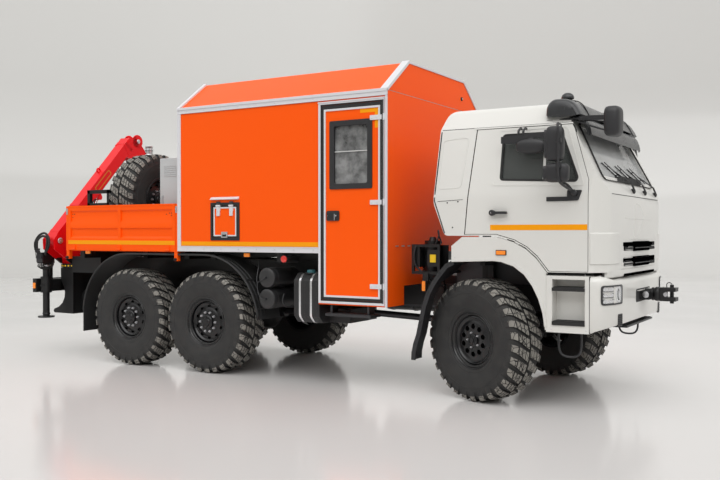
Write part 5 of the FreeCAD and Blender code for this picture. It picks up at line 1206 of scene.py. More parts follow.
def build_fenders():
    """Front wheel arches with dark linings and flaps, side markers and step treads."""
    dark = lambda c, n: c.x < -0.335 or c.z < 0.765 or abs(c.y) < 0.665 \
        or (abs(c.y) < 1.2 and c.x < 0.67 and abs(n.y) < 0.95)
    recast("front_fenders", "chassis", "cab_white trim_plastic", 0.005, (dark,), at=AXLE_X,
           drop=lambda c: (c.z < 0.769 and abs(c.y) > 1.1 and c.x > 0.6) or (c.x < -0.341 and abs(c.y) > 0.7))
    for name, side in SIDES:
        skin = Skin("y", side, "front_fenders", AXLE_X)
        kit = Kit("cab_white", AXLE_X, side)
        ribbon(kit, skin, dense(ARCH_LIP, 0.08), 0.03, 0.007, False)
        plate(kit.use("seal_rubber"), skin, rect(0.148, 0.262, 1.51, 1.563, 0.008), 0.006)
        plate(kit.use("amber_lens"), skin, rect(0.157, 0.253, 1.517, 1.556, 0.006), 0.016)
        kit.use("seal_rubber")
        for low in (0.842, 1.172):
            kit.box(0.726, 1.047, 1.085, 1.246, low, low + 0.034)
            for y in (1.097 + 0.137 * k / 7 for k in range(8)):
                kit.box(0.736, 1.037, y - 0.004, y + 0.004, low + 0.033, low + 0.042)
        kit.use("zinc_steel")
        for place in ((-0.3, 1.2455, 1.48), (0.72, 1.235, 0.8), (1.06, 1.235, 0.8), (0.72, 1.235, 1.3)):
            kit.dome(place, AXLE, 0.007)
        kit.use("trim_plastic")
        rows = []
        for k, here in enumerate(FLAP):
            way = (Vector(FLAP[min(k + 1, len(FLAP) - 1)]) - Vector(FLAP[max(k - 1, 0)])).normalized()
            (u, v), (u1, v1), (u2, v2) = (Vector(here) + Vector((-way.y, way.x)) * t for t in (0, 0.022, 0.05))
            y = 0.83 if v > 1.25 else 1.02
            rows.append([(u, y, v), (u, 1.232, v), (u2, 1.232, v2), (u2, 1.222, v2), (u1, 1.222, v1), (u1, y, v1)])
        kit.sweep(rows)
        for u, v in FLAP[2:7:2]:
            kit.bolt((u + 0.02, 1.232, v), AXLE, 0.009)
        half = [(0.1125, 0.775), (0.1125, 0.66), (0.1045, 0.59), (0.0775, 0.548), (0.0325, 0.532)]
        kit.pipe([(0.8775 - u, 1.145, z) for u, z in half] + [(0.8775 + u, 1.145, z) for u, z in half[::-1]],
                 0.011, 12, 4)
        for x in (0.765, 0.99):
            kit.rod((x, 1.145, 0.76), (x, 1.145, 0.775), 0.02)
        kit.make("fender_trim_" + name, "chassis", 0.0015, 1)


def bow_line():
    """Plan of the bumper: points with their run from the middle, on its left half."""
    points = [Vector(p) for p in ((1.3, 0), (1.3, 0.62), (1.288, 0.86), (1.262, 1.04), (1.215, 1.17), (1.15, 1.222),
                                  (1.093, 1.232))]
    for _ in range(3):
        points = [points[0], *(one.lerp(two, t) for one, two in zip(points, points[1:]) for t in (0.25, 0.75)),
                  points[-1]]
    runs = [0.0]
    for one, two in zip(points, points[1:]):
        runs.append(runs[-1] + (two - one).length)
    return points, runs


BOW = bow_line()
BOW_END = BOW[1][-1]


def on_bow(run, z, lift=0.0):
    """A point on the bumper's face, from its run from the middle (left is positive), height and lift."""
    points, runs = BOW
    far = min(abs(run), BOW_END - 1e-6)
    k = next(n for n in range(1, len(runs)) if runs[n] > far)
    here = points[k - 1].lerp(points[k], (far - runs[k - 1]) / (runs[k] - runs[k - 1]))
    way = (points[k] - points[k - 1]).normalized()
    here += Vector((way.y, -way.x)) * lift
    return Vector((AXLE_X + here.x, copysign(here.y, run), z))


def bow_plate(kit, outline, lift, sunk=0.01):
    """A shape of runs and heights laid on the bumper."""
    kit.slab([on_bow(u, v, h) for h in (lift, -sunk) for u, v in outline])


def build_bumper():
    """Rounded front bumper with its lamps, vents, tow pocket and tread plate."""
    recast("tow_fork", "chassis", "chassis_black", 0.004, drop=lambda c: c.x < BUMPER_X + 0.0305)
    kit = Kit("cab_white")
    rows = []
    for run in (BOW_END * (k / 36 - 1) for k in range(73)):
        low = 0.772 + max(0.0, on_bow(run, 0).x - AXLE_X - 1.07) * 0.3
        drop = 0.033 * max(0.0, min(1.0, (1.15 - abs(run)) / 0.2))
        ease = min(1.0, (BOW_END - abs(run)) / 0.03)
        rows.append([on_bow(run, z, lift if lift < 0 else lift * ease) for z, lift in (
            (low + 0.02, -0.05), (low + 0.002, -0.03), (low, -0.012), (low + 0.014, -0.002), (0.965, 0),
            (0.985, 0.006), (1.225, 0.006), (1.265 - drop * 0.5, 0.002), (1.3 - drop, -0.012),
            (1.314 - drop, -0.035), (1.318 - drop, -0.07), (1.26, -0.075), (low + 0.05, -0.055))])
    kit.sweep(rows)
    kit.make("bumper_shell", "chassis", 0, angle=50, replaces=("front_bumper",))

    kit = Kit("seal_rubber")
    x = BUMPER_X
    bow_plate(kit, dense(rect(-0.31, 0.31, 1.02, 1.155, 0.03), 0.1, True), 0.009)
    for kit.side in (-1, 1):
        kit.use("seal_rubber").box(x - 0.213, x - 0.207, 1.2, 1.231, 0.775, 1.316)
        for k in range(6):
            bow_plate(kit, rect(0.81, 0.91, 0.836 + 0.018 * k, 0.845 + 0.018 * k), 0.007)
        bow_plate(kit.use("trim_plastic"), rect(0.8, 0.92, 0.825, 0.945, 0.012), 0.003)
        kit.beam((x - 0.1, 0.4, 0.79), (x - 0.1, 0.39, 0.95), 0.04, 0.02)
    kit.box(x - 0.18, x - 0.02, -0.56, 0.56, 0.78, 0.8)
    for k in range(16):
        kit.box(x - 0.17, x - 0.03, -0.54 + 0.07 * k, -0.515 + 0.07 * k, 0.798, 0.806)
    kit.use("zinc_steel").rod((x + 0.25, -0.062, 1.095), (x + 0.25, -0.08, 1.095), 0.022, seg=20)
    kit.lathe([(0.034, 0), (0.032, 0.006), (0.015, 0.01), (0, 0.01)], (x + 0.07, -0.158, 1.092), (0, -1, 0), 24)
    kit.use("cab_white").box(x - 0.01, x + 0.03, -0.27, 0.27, 1.136, 1.142)
    kit.use("chassis_black").box(x - 0.01, x + 0.105, -0.158, 0.158, 1.04, 1.125)
    kit.rod((x + 0.1, 0, 1.095), (x + 0.12, 0, 1.095), 0.068, seg=28)
    kit.lathe([(0.052, -0.01), (0.052, 0.11), (0.04, 0.12), (0.03, 0.12)], (x, 0, 1.09), (1, 0, 0), 32)
    kit.pebble((x + 0.16, 0, 1.095), (0.05, 0.08, 0.075), 0.8, 0.8)
    kit.pipe([(x + 0.3, 0, 1.2), (x + 0.27, 0.03, 1.215), (x + 0.24, 0.045, 1.2), (x + 0.24, 0.05, 1.16)],
             0.005, 8, 4)
    kit.make("bumper_trim", "chassis", 0.001, 1)

    outer = dense(rect(0.835, 1.215, 1.045, 1.232, 0.03), 0.06, True)
    inner = grown(outer, (1.025, 1.1385), 0.93, 0.86)
    for name, side in SIDES:
        kit = Kit("trim_plastic", side=side)
        kit.hollow([on_bow(u, v, h) for h in (0.015, -0.01) for u, v in outer + inner])
        bow_plate(kit.use("lamp_silver"), inner, 0.0075)
        for z in (1.08, 1.137, 1.194):
            for mat, wide, high, lift in (("trim_plastic", 0.082, 0.024, 0.0085), ("chrome", 0.076, 0.016, 0.0105)):
                bar = rect(1.115 - wide, 1.115 + wide, z - high, z + high, 0.01)
                bow_plate(kit.use(mat), dense(bar, 0.06, True), lift)
        for mat, wide, high, lift in (("chrome", 0.07, 0.078, 0.0085), ("seal_rubber", 0.022, 0.055, 0.0105),
                                      ("clear_lens", 0.011, 0.045, 0.0125)):
            bow_plate(kit.use(mat), [(0.925 + wide * c, 1.14 + high * s) for c, s in circle(24)], lift)
        kit.make("headlamp_" + name, "chassis", 0, 1)
        kit = Kit("lens_cover", side=side)
        bow_plate(kit, inner, 0.0135, -0.0125)
        kit.make("headlamp_cover_" + name, "chassis", 0)


# ------------------------------------------------------------------ chassis

def arc(x, z, r, start, end, count):
    """Points of a circle about (x, z) between two angles in degrees."""
    angles = [radians(start + (end - start) * k / count) for k in range(count + 1)]
    return [(x + r * cos(a), z + r * sin(a)) for a in angles]


def marker(kit, x, y, z):
    """A side lamp on its bracket."""
    kit.use("seal_rubber").tile(x, z, 0.05, 0.028, 0.01, "y", y - 0.02, y)
    kit.use("amber_lens").tile(x, z, 0.042, 0.022, 0.01, "y", y - 0.004, y + 0.014)
    kit.use("chassis_black").box(x - 0.02, x + 0.02, y - 0.03, y - 0.012, z, z + 0.05)


def build_chassis():
    """Rails with their bolts, tanks, guards, springs, lamps and lines under the body."""
    for node, mat, bevel in (("frame", "chassis_black", 0.004), ("rear_fenders", "guard_plastic", 0.004),
                             ("side_tanks", "tank_black", 0.006), ("side_rack", "chassis_black", 0.005),
                             ("rear_bumper", "chassis_black", 0.006), ("engine", "dark_steel", 0.012),
                             ("drive_shafts", "dark_steel", 0.006)):
        recast(node, "chassis", mat, bevel)
    kit = Kit("chassis_black")
    for kit.side in (1, -1):
        for x, z in ((-3.05, 0.945), (-2.95, 1.105)):
            for k in range(26):
                kit.bolt((x + 0.3 * k, 0.4, z), AXLE, 0.011)
    kit.make("rail_bolts", "chassis", 0)

    kit = Kit("dark_steel")
    y, wide = 0.3525, 0.079
    for kit.side in (1, -1):
        for k in range(7):
            reach, z = 0.7 - 0.075 * k, 0.706 + 0.0145 * k
            rise = 0.09 * (reach / 0.7) ** 2
            leaf = [(AXLE_X + reach * t, y, z + rise * t * t) for t in (-1, -0.5, 0, 0.5, 1)]
            for start, end in zip(leaf, leaf[1:]):
                kit.beam(start, end, wide, 0.011)
            z = 0.715 + 0.014 * k
            kit.beam((-1.32 + 0.075 * k, y, z), (-0.075 * k, y, z), wide, 0.01)
        for x in (AXLE_X - 0.06, AXLE_X + 0.06):
            kit.beam((x, 0.405, 0.69), (x, 0.405, 0.84), 0.022, 0.022)
            kit.bolt((x, 0.405, 0.835), (0, 0, 1), 0.015)
        kit.rod((AXLE_X - 0.25, 0.46, 0.68), (AXLE_X - 0.38, 0.44, 1.08), 0.034, seg=20)
        kit.rod((AXLE_X - 0.27, 0.457, 0.74), (AXLE_X - 0.34, 0.447, 0.96), 0.046, seg=20)
    kit.make("spring_leaves", "chassis", 0.0015, 1)

    kit = Kit("guard_plastic")
    for kit.side in (1, -1):
        for y, r in ((1.232, 0.012), (1.16, 0.008), (1.09, 0.008)):
            for line in (arc(0, 0.63, 0.834, 8, 90, 14), arc(-1.32, 0.63, 0.834, 90, 176, 14),
                         [(-1.32, 1.464), (0, 1.464)]):
                kit.pipe([(x, y, z) for x, z in line], r, 8, 2)
        for x, a in ((0, 14), (0, 40), (-1.32, 140), (-1.32, 166)):
            x, z = arc(x, 0.63, 0.84, a, a, 1)[0]
            kit.rod((x, 0.8, z), (x, 1.225, z), 0.009, seg=10)
    kit.make("guard_ribs", "chassis", 0)

    kit = Kit("chrome")
    tank = [(-1.2, 0.78), (-1.12, 0.7), (-0.68, 0.7), (-0.6, 0.78), (-0.6, 1.19), (-0.68, 1.27), (-1.12, 1.27),
            (-1.2, 1.19)]
    strap, seam, inner = (round_path(grown(tank, (-0.9, 0.985), by), 0.03, 3) for by in (1.018, 1.006, 0.99))
    for x in (1.418, 1.571):
        kit.frame_bar(strap, inner, "x", x - 0.014, x + 0.014)
    kit.use("cap_teal").lathe([(0.05, 0), (0.05, 0.03), (0.044, 0.042), (0, 0.044)], (1.5, -1.09, 1.266), UP, 24)
    kit.use("tank_black").lathe([(0.062, 0), (0.062, 0.01), (0.055, 0.014), (0, 0.014)], (1.5, -1.09, 1.262), UP, 24)
    for x in (1.36, 1.495, 1.65):
        kit.frame_bar(seam, inner, "x", x - 0.01, x + 0.01)
    for z in (1.206, 0.956):
        kit.use("bottle_black").lathe([(0.1185, -0.02), (0.1185, 0.004), (0.114, 0.016), (0.095, 0.026),
                                       (0.06, 0.031), (0, 0.033)], (0.95, -1.198, z), (0, -1, 0), 40)
        for y in (-1.13, -0.78):
            kit.band(0.119, 0.1225, 0.015, (0.95, y, z), AXLE, 40)
        kit.use("dark_steel").rod((0.95, -1.225, z), (0.95, -1.245, z), 0.014, seg=6)
        kit.rod((0.95, -1.24, z), (0.95, -1.256, z), 0.008, seg=10)
    kit.use("trim_plastic").pipe([(0.95, -1.25, 1.206), (0.9, -1.245, 1.18), (0.83, -1.235, 1.15), (0.8, -1.21, 1.2),
                                  (0.78, -1.15, 1.32), (0.75, -1.1, 1.4)], 0.006)
    kit.pipe([(0.95, -1.25, 0.956), (0.89, -1.245, 0.965), (0.84, -1.235, 1.02), (0.81, -1.215, 1.12),
              (0.77, -1.16, 1.26), (0.72, -1.05, 1.36)], 0.006)
    kit.pipe([(1.2, -1.0, 0.86), (1.16, -1.12, 0.87), (1.14, -1.16, 0.94), (1.15, -1.14, 1.02)], 0.009)
    kit.make("tank_trim", "chassis", 0.001, 1)

    kit = Kit("seal_rubber")
    for kit.side in (1, -1):
        for x, z in ((0.647, 1.469), (-2.09, 1.475)):
            marker(kit, x, 1.2, z)
            kit.box(x - 0.03, x + 0.03, 1.1, 1.19, z - 0.01, z + 0.03)
        kit.rod((1.24, 1.0, 1.425), (1.2, 1.17, 1.43), 0.04, 0.044, 20)
        kit.box(1.17, 1.25, 0.9, 1.02, 1.39, 1.47)
        kit.use("seal_rubber").rod((1.19, 1.17, 1.43), (1.19, 1.2, 1.43), 0.047, seg=28)
        kit.use("red_lens").lathe([(0.042, 0.026), (0.04, 0.04), (0.025, 0.046), (0, 0.047)], (1.19, 1.17, 1.43),
                                  AXLE, 28)
    kit.make("side_lamps", "chassis", 0.002, 1)

    kit = Kit("seal_rubber")
    kit.prism(rect(2.89, 2.94, 1.1, 1.22, 0.01), "y", -1.012, -0.98)
    kit.use("amber_lens").prism(rect(2.896, 2.934, 1.107, 1.213, 0.01), "y", -1.022, -1.0)
    kit.use("label_yellow").prism(rect(2.965, 3.035, 1.415, 1.5, 0.004), "y", -0.966, -0.955)
    kit.use("chassis_black").prism(rect(2.93, 3.07, 1.37, 1.55, 0.012), "y", -0.957, -0.93)
    kit.box(2.88, 2.95, -0.975, -0.95, 1.18, 1.3)
    kit.box(2.76, 2.83, -0.94, -0.7, 1.36, 1.6)
    kit.box(2.78, 3.06, -0.71, -0.69, 1.33, 1.6)
    for z in (1.34, 1.44, 1.54):
        kit.band(0.09, 0.094, 0.004, (2.91, -0.78, z), UP)
    for z in (0.9, 1.0, 1.1):
        kit.box(2.46, 2.86, 1.078, 1.088, z, z + 0.03)
    kit.rod((2.91, -0.78, 1.645), (2.91, -0.78, 1.69), 0.05, 0.03, 24)
    kit.use("trim_plastic").pipe([(2.79, -0.95, 1.6), (2.775, -0.97, 1.5), (2.79, -0.96, 1.38), (2.86, -0.93, 1.3)],
                                 0.011)
    kit.pipe([(3.0, -0.9, 1.61), (3.03, -0.88, 1.7), (3.0, -0.83, 1.76), (2.95, -0.72, 1.72), (2.93, -0.6, 1.62)],
             0.009)
    kit.pipe([(2.84, -0.8, 1.31), (2.84, -0.72, 1.22), (2.86, -0.6, 1.16), (2.9, -0.46, 1.12)], 0.014)
    kit.use("zinc_steel")
    for x in (2.49, 2.65, 2.81):
        for z in (0.86, 1.19):
            kit.bolt((x, 1.08, z), AXLE, 0.01)
    kit.use("dark_steel")
    for x in (1.56, 1.9, 2.24):
        kit.band(0.19, 0.197, 0.016, (x, 0.8, 0.9), (1, 0, 0), 40)
    kit.lathe([(0.18, 0), (0.12, 0.03), (0.045, 0.045), (0.045, 0.11), (0.038, 0.11), (0.038, 0)], (2.3, 0.8, 0.9),
              (1, 0, 0), 32)
    kit.make("rack_trim", "chassis", 0.001, 1)

    kit = Kit("seal_rubber")
    x = -3.29
    for kit.side in (1, -1):
        kit.use("seal_rubber").surround(0.72, 1.12, 0.915, 1.05, 0.012, (0.015, 0.012), "x", x - 0.008, x + 0.02)
        for y0, y1, lens in ((0.9972, 1.106, "amber_lens"), (0.81672, 0.9932, "red_lens"),
                             (0.734, 0.81272, "clear_lens")):
            kit.use(lens).prism(rect(y0, y1, 0.929, 1.036, 0.006), "x", x - 0.006, x + 0.015)
        kit.use("amber_lens").prism(rect(x + 0.012, x + 0.06, 0.94, 1.02, 0.01), "y", 1.15, 1.166)
        kit.use("zinc_steel").bolt((x - 0.004, 0.24, 0.98), (-1, 0, 0), 0.007)
    kit.use("dark_steel").prism(rect(-0.28, 0.28, 0.925, 1.04, 0.01), "x", x - 0.006, x + 0.004)
    kit.make("rear_lamps", "chassis", 0.001, 1)


# ------------------------------------------------------------------ load

SPARE = Vector((-1.6, -0.49, 2.2))


def build_load(sizes):
    """Spare wheel on its carrier with the caged lamp and guard frame, and the cabinet."""
    place_wheel("spare_%s", "spare_%s_trim", SPARE + Vector((MX, 0, 0)), -pi / 2, "chassis", sizes, 0.1, False)
    kit = Kit("chassis_black")
    back, y, low = SPARE.x - 0.245, SPARE.y, 1.5653
    lamp = Vector((back - 0.03, y + 0.22, SPARE.z + 0.64))
    kit.rod(SPARE + Vector((0.034, 0, 0)), SPARE - Vector((0.02, 0, 0)), 0.14, seg=40)
    kit.rod(SPARE, (back - 0.02, y, SPARE.z), 0.06, seg=32)
    kit.box(back - 0.06, back, y - 0.09, y + 0.09, low, SPARE.z + 0.1)
    kit.box(back - 0.06, back, y - 0.56, y + 0.26, low, low + 0.06)
    for s in (-1, 1):
        kit.beam((back - 0.03, y + s * 0.24, low + 0.05), (back - 0.03, y + s * 0.07, low + 0.42), 0.04, 0.05)
    for x in (back - 0.43, back - 0.05):
        kit.box(x, x + 0.05, y - 0.56, y - 0.51, low, low + 0.76)
    for z in (low + 0.71, low + 0.53, low):
        kit.box(back - 0.43, back, y - 0.56, y - 0.51, z, z + 0.05)
    kit.rod((lamp.x, lamp.y, low + 0.03), lamp, 0.016)
    kit.use("zinc_steel")
    for c, s in circle(4, 0.5):
        kit.bolt((back - 0.058, y + 0.06 * c, SPARE.z + 0.06 * s), (-1, 0, 0), 0.013)
    kit.make("spare_carrier", "chassis", 0.003)

    kit = Kit("zinc_steel")
    kit.lathe([(0, 0), (0.05, 0), (0.055, 0.012), (0.05, 0.024), (0, 0.024)], lamp, UP, 28)
    kit.lathe([(0, 0.126), (0.054, 0.126), (0.056, 0.136), (0.03, 0.146), (0, 0.148)], lamp, UP, 28)
    kit.use("trim_plastic")
    for c, s in circle(8):
        kit.pipe([lamp + Vector((r * c, r * s, z)) for r, z in ((0.0468, 0.02), (0.05408, 0.075), (0.0468, 0.13))],
                 0.0028, 6, 3)
    kit.band(0.0535, 0.0555, 0.003, lamp + Vector((0, 0, 0.075)), UP, 28)
    kit.use("clear_lens").lathe([(0.032, 0.022), (0.04, 0.04), (0.04, 0.1), (0.03, 0.124), (0, 0.126)], lamp, UP, 24)
    kit.make("bed_lamp", "chassis", 0)

    recast("cabinet", "chassis", "cabinet_grey", 0.006)
    kit = Kit("cabinet_grey")
    kit.prism(rect(-0.85, -0.512, 1.7, 2.66, 0.01), "y", -1.0865, -1.079)
    for y0, y1 in ((-1.05, -0.4), (-0.38, 0.27)):
        kit.prism(rect(y0, y1, 1.7, 2.66, 0.01), "x", -0.8865, -0.879)
    for z in (2.46 + 0.026 * k for k in range(6)):
        kit.box(-0.8, -0.56, -1.092, -1.084, z, z + 0.012)
    kit.use("zinc_steel").box(-0.835, -0.815, -1.098, -1.084, 2.1, 2.22)
    for y in (-0.43, -0.35):
        kit.box(-0.896, -0.884, y - 0.012, y + 0.012, 2.1, 2.24)
    for z in (1.82, 2.18, 2.54):
        kit.rod((-0.512, -1.086, z - 0.03), (-0.512, -1.086, z + 0.03), 0.008, seg=10)
    kit.make("cabinet_doors", "chassis", 0.0015, 1)


# ------------------------------------------------------------------ crane

CRANE_X = -2.93
FOOT = Vector((CRANE_X, -1.08, 1.625))
KNUCKLE = Vector((CRANE_X, 0.455, 3.165))
BOOM_WAY = Vector((0, cos(radians(47)), sin(radians(47))))
BOOM_UP = Vector((0, -BOOM_WAY.z, BOOM_WAY.y))
LIFT_PIN = Vector((CRANE_X, -0.69, 1.43))
LEG_X, LEG_Y = -3.125, 1.055


def pin_head(kit, place, half, radius):
    """The capped ends of a cross pin."""
    for s in (-1, 1):
        kit.lathe([(radius, -0.004), (radius, 0.008), (radius * 0.8, 0.014), (0, 0.014)],
                  place + Vector((s * half, 0, 0)), (s, 0, 0), 24)
        kit.bolt(place + Vector((s * (half + 0.012), 0, 0)), (s, 0, 0), radius * 0.3)


def along_boom(s, up, x=0.0):
    """A point s along the main boom from its foot."""
    return FOOT + BOOM_WAY * s + BOOM_UP * up + Vector((x, 0, 0))


def build_crane():
    """Folded crane: red beams with plates, pins and lines, the column, base and legs."""
    for node in ("crane_column", "main_boom", "outer_boom"):
        recast(node, node, "crane_red", 0.006, segments=3)
    recast("boom_extension", "boom_extension", "crane_red dark_steel", 0.004, (lambda c, n: c.z < 1.42,))
    recast("crane_base", "chassis", "chassis_black", 0.006,
           drop=lambda c: -3.0605 < c.x < -2.7995 and -0.8505 < c.y < -0.6295 and c.z < 1.215)
    recast("lift_barrel", "lift_barrel", "chassis_black", 0.003)
    recast("lift_rod", "lift_rod", "chrome", 0.002)
    for name, side in SIDES:
        leg = "stabiliser_leg_" + name
        recast(leg, leg, "chassis_black", 0.004)
        kit = Kit("chassis_black", side=side)
        kit.rod((LEG_X, LEG_Y, 0.57), (LEG_X, LEG_Y, 0.592), 0.056, 0.05, 32)
        kit.lathe([(0.044, 0), (0.044, 0.03), (0.03, 0.04), (0, 0.042)], (LEG_X, LEG_Y, 1.37), UP, 32)
        kit.make("leg_collars_" + name, leg, 0)

    kit = Kit("crane_red")
    for x in (-0.098, 0.082):
        kit.rod(KNUCKLE + Vector((x, 0, 0)), KNUCKLE + Vector((x + 0.016, 0, 0)), 0.105, seg=40)
        kit.beam(KNUCKLE + Vector((x + 0.008, 0, 0)), along_boom(1.9, 0, x + 0.008), 0.016, 0.19, BOOM_UP)
    for s in (0.1, 0.62, 1.95):
        kit.slab([along_boom(t, up, x) for t in (s, s + 0.05) for up, x in (
            (-0.086, -0.098), (0.086, -0.098), (0.086, 0.098), (-0.086, 0.098))])
    kit.lathe([(0.03 + 0.011 * c, 0.011 * s) for c, s in circle(10)], along_boom(1.33, 0.112), (1, 0, 0), 24, True)
    pin_head(kit.use("zinc_steel"), KNUCKLE, 0.111, 0.034)
    for mat, x, edge, r in (("plate_amber", 0.0955, 0, 0.03), ("crane_red", 0.0965, 0.012, 0.022)):
        outline = rect(1.02 + edge, 1.42 - edge, edge - 0.042, 0.042 - edge, r)
        kit.use(mat).faces([along_boom(s, up, x) for s, up in outline], [range(len(outline))])
    kit.use("dark_steel")
    for x in (-0.07, 0.07):
        kit.pipe([along_boom(s, up, x) for s, up in ((0.25, -0.094), (0.9, -0.094), (1.6, -0.094), (1.85, -0.1))],
                 0.007, 8, 3)
    for s in (0.4, 0.8, 1.5):
        for x in (-0.075, 0.075):
            kit.bolt(along_boom(s, -0.082, x), -BOOM_UP, 0.008)
    kit.use("seal_rubber").pipe([along_boom(*p) for p in ((0.3, 0, 0.098), (0.36, -0.03, 0.112), (0.6, -0.06, 0.108),
                                                          (0.9, -0.075, 0.1))], 0.011)
    kit.make("main_boom_fittings", "main_boom", 0.001, 1)

    kit = Kit("crane_red")
    for z in (1.66, 2.2, 2.78):
        kit.box(CRANE_X - 0.069, CRANE_X + 0.069, 0.541, 0.699, z, z + 0.05)
    kit.use("dark_steel")
    for x in (CRANE_X - 0.035, CRANE_X + 0.035):
        kit.pipe([(x, 0.702, 2.75), (x, 0.706, 2.4), (x, 0.702, 1.75)], 0.008, 8, 3)
    kit.make("outer_boom_fittings", "outer_boom", 0.003, 1)
    kit = Kit("zinc_steel")
    kit.rod((CRANE_X, 0.62, 1.335), (CRANE_X, 0.62, 1.352), 0.035, seg=20)
    pin_head(kit, Vector((CRANE_X, 0.62, 1.38)), 0.03, 0.02)
    kit.make("hook_fittings", "boom_extension", 0)

    kit = Kit("zinc_steel")
    pin_head(kit, FOOT, 0.135, 0.042)
    pin_head(kit, LIFT_PIN, 0.131, 0.03)
    kit.use("seal_rubber")
    for out in (0, 0.03):
        kit.pipe([(CRANE_X - 0.12, out - 1.04, 1.66), (CRANE_X - 0.19, out - 1.0, 1.69 + out),
                  (CRANE_X - 0.22 - out, out - 0.93, 1.6), (CRANE_X - 0.19, out - 0.87, 1.5),
                  (CRANE_X - 0.12, out - 0.85, 1.45)], 0.013)
    guard = [(-0.862, 1.291), (-0.535, 1.291), (-0.586, 1.402), (-0.65, 1.378), (-0.935, 1.378), (-0.965, 1.362)]
    for x in (CRANE_X - 0.124, CRANE_X + 0.092):
        kit.use("chassis_black").prism(guard, "x", x, x + 0.032)
    kit.use("label_yellow")
    for x in (CRANE_X - 0.1265, CRANE_X + 0.1225):
        for y in (-0.86 + 0.036 * k for k in range(7)):
            kit.box(x, x + 0.004, y, y + 0.018, 1.305, 1.322)
    kit.make("column_fittings", "crane_column", 0.001, 1)
    build_crane_base()


def build_crane_base():
    """Slewing ring, valve levers, hoses, leg collars and pump post of the crane's base."""
    kit = Kit("chassis_black")
    ring = Vector((CRANE_X, -0.74, 0))
    kit.lathe([(0.15, -0.05), (0.165, -0.05), (0.165, -0.012), (0.15, -0.012)], ring + Vector((0, 0, 1.29)), UP)
    for c, s in circle(20):
        kit.bolt(ring + Vector((0.157 * c, 0.157 * s, 1.278)), UP, 0.007)
    kit.use("label_yellow")
    for a in (radians(-165 + 17 * k) for k in range(9)):
        kit.beam(*(ring + Vector((r * cos(a), r * sin(a), 1.262)) for r in (0.163, 0.167)), 0.026, 0.02)
    y = -LEG_Y
    for x in (LEG_X - 0.05 + 0.025 * k for k in range(5)):
        kit.use("dark_steel").rod((x, y - 0.11, 1.38), (x, y - 0.135, 1.38), 0.009, seg=12)
        kit.rod((x, y - 0.13, 1.38), (x - 0.004, y - 0.15, 1.5), 0.0045, seg=8)
        kit.use("seal_rubber").lathe([(0, -0.011), (0.008, -0.008), (0.011, 0), (0.008, 0.008), (0, 0.011)],
                                     (x - 0.004, y - 0.151, 1.505), UP, 12)
    kit.use("dark_steel").box(LEG_X - 0.066, LEG_X + 0.066, y - 0.116, y - 0.1, 1.32, 1.43)
    kit.use("seal_rubber")
    for k, (x, low) in enumerate(((-0.045, 1.235), (-0.015, 1.22), (0.015, 1.23), (0.045, 1.245))):
        kit.pipe([(LEG_X + x, y - 0.085, 1.302), (LEG_X + x * 1.3, y - 0.092, low + 0.02),
                  (LEG_X + x * 1.2 + 0.03, y - 0.05, low), (LEG_X + 0.09, y + 0.02, low + 0.02),
                  (LEG_X + 0.085 - 0.008 * k, y + 0.06, 1.3), (LEG_X + 0.06, y + 0.075, 1.35)], 0.009)
    for d in (0, 0.04):
        kit.pipe([(LEG_X - 0.06, y - 0.05 + d, 1.4), (d - 3.22, y - 0.1, 1.49), (d - 3.19, -1.19, 1.6),
                  (-3.06, -1.225, 1.7 - d), (-2.93 - d, -1.232, 1.73 - d), (-2.85 - d, -1.232, 1.66),
                  (-2.87 - d, -1.22, 1.54), (-3.0, -1.17, 1.45), (-3.07, -1.1, 1.42)], 0.016, 10)
    kit.use("zinc_steel")
    kit.lathe([(0.055, 0), (0.068, 0), (0.068, 0.026), (0.055, 0.026)], (LEG_X, y, 1.25), UP, 32, True)
    for x in (-0.04, 0, 0.04):
        kit.rod((LEG_X + x, y - 0.085, 1.306), (LEG_X + x, y - 0.085, 1.284), 0.014, seg=6)
    kit.use("chassis_black").box(-2.79, -2.2, -0.88, -0.7, 1.17, 1.4)
    for kit.side in (-1, 1):
        for z in (1.099, 0.891):
            kit.band(0.074, 0.08, 0.009, (LEG_X, LEG_Y, z), UP, 36)
        kit.rod((LEG_X, LEG_Y + 0.07, 0.985), (LEG_X, LEG_Y + 0.1, 0.985), 0.012, seg=12)
        kit.beam((LEG_X, LEG_Y + 0.095, 0.985), (LEG_X + 0.07, LEG_Y + 0.095, 0.985), 0.012, 0.012)
    post = [(-3.06, 1.232), (-2.8, 1.232), (-2.8, 1.0), (-2.8, 0.572), (-3.2, 0.572), (-3.22, 0.6), (-3.2, 0.63),
            (-3.11, 0.66), (-3.03, 0.72), (-2.985, 0.8), (-2.975, 0.88), (-3.0, 0.96), (-3.05, 1.03), (-3.06, 1.07)]
    for y in (-0.85, -0.66):
        kit.prism(post, "y", y, y + 0.03)
    kit.prism([(max(x, -3.04), z) for x, z in post], "y", -0.83, -0.65)
    kit.rod((-2.79, -0.55, 0.78), (-2.6, -0.55, 0.78), 0.16, seg=36)
    kit.use("dark_steel").lathe([(0.12, 0), (0.12, 0.012), (0.05, 0.02), (0.05, 0.04), (0, 0.04)],
                                (-2.6, -0.55, 0.78), (1, 0, 0), 32)
    kit.make("crane_base_fittings", "chassis", 0.001, 1)


# ------------------------------------------------------------------ inside of the cab

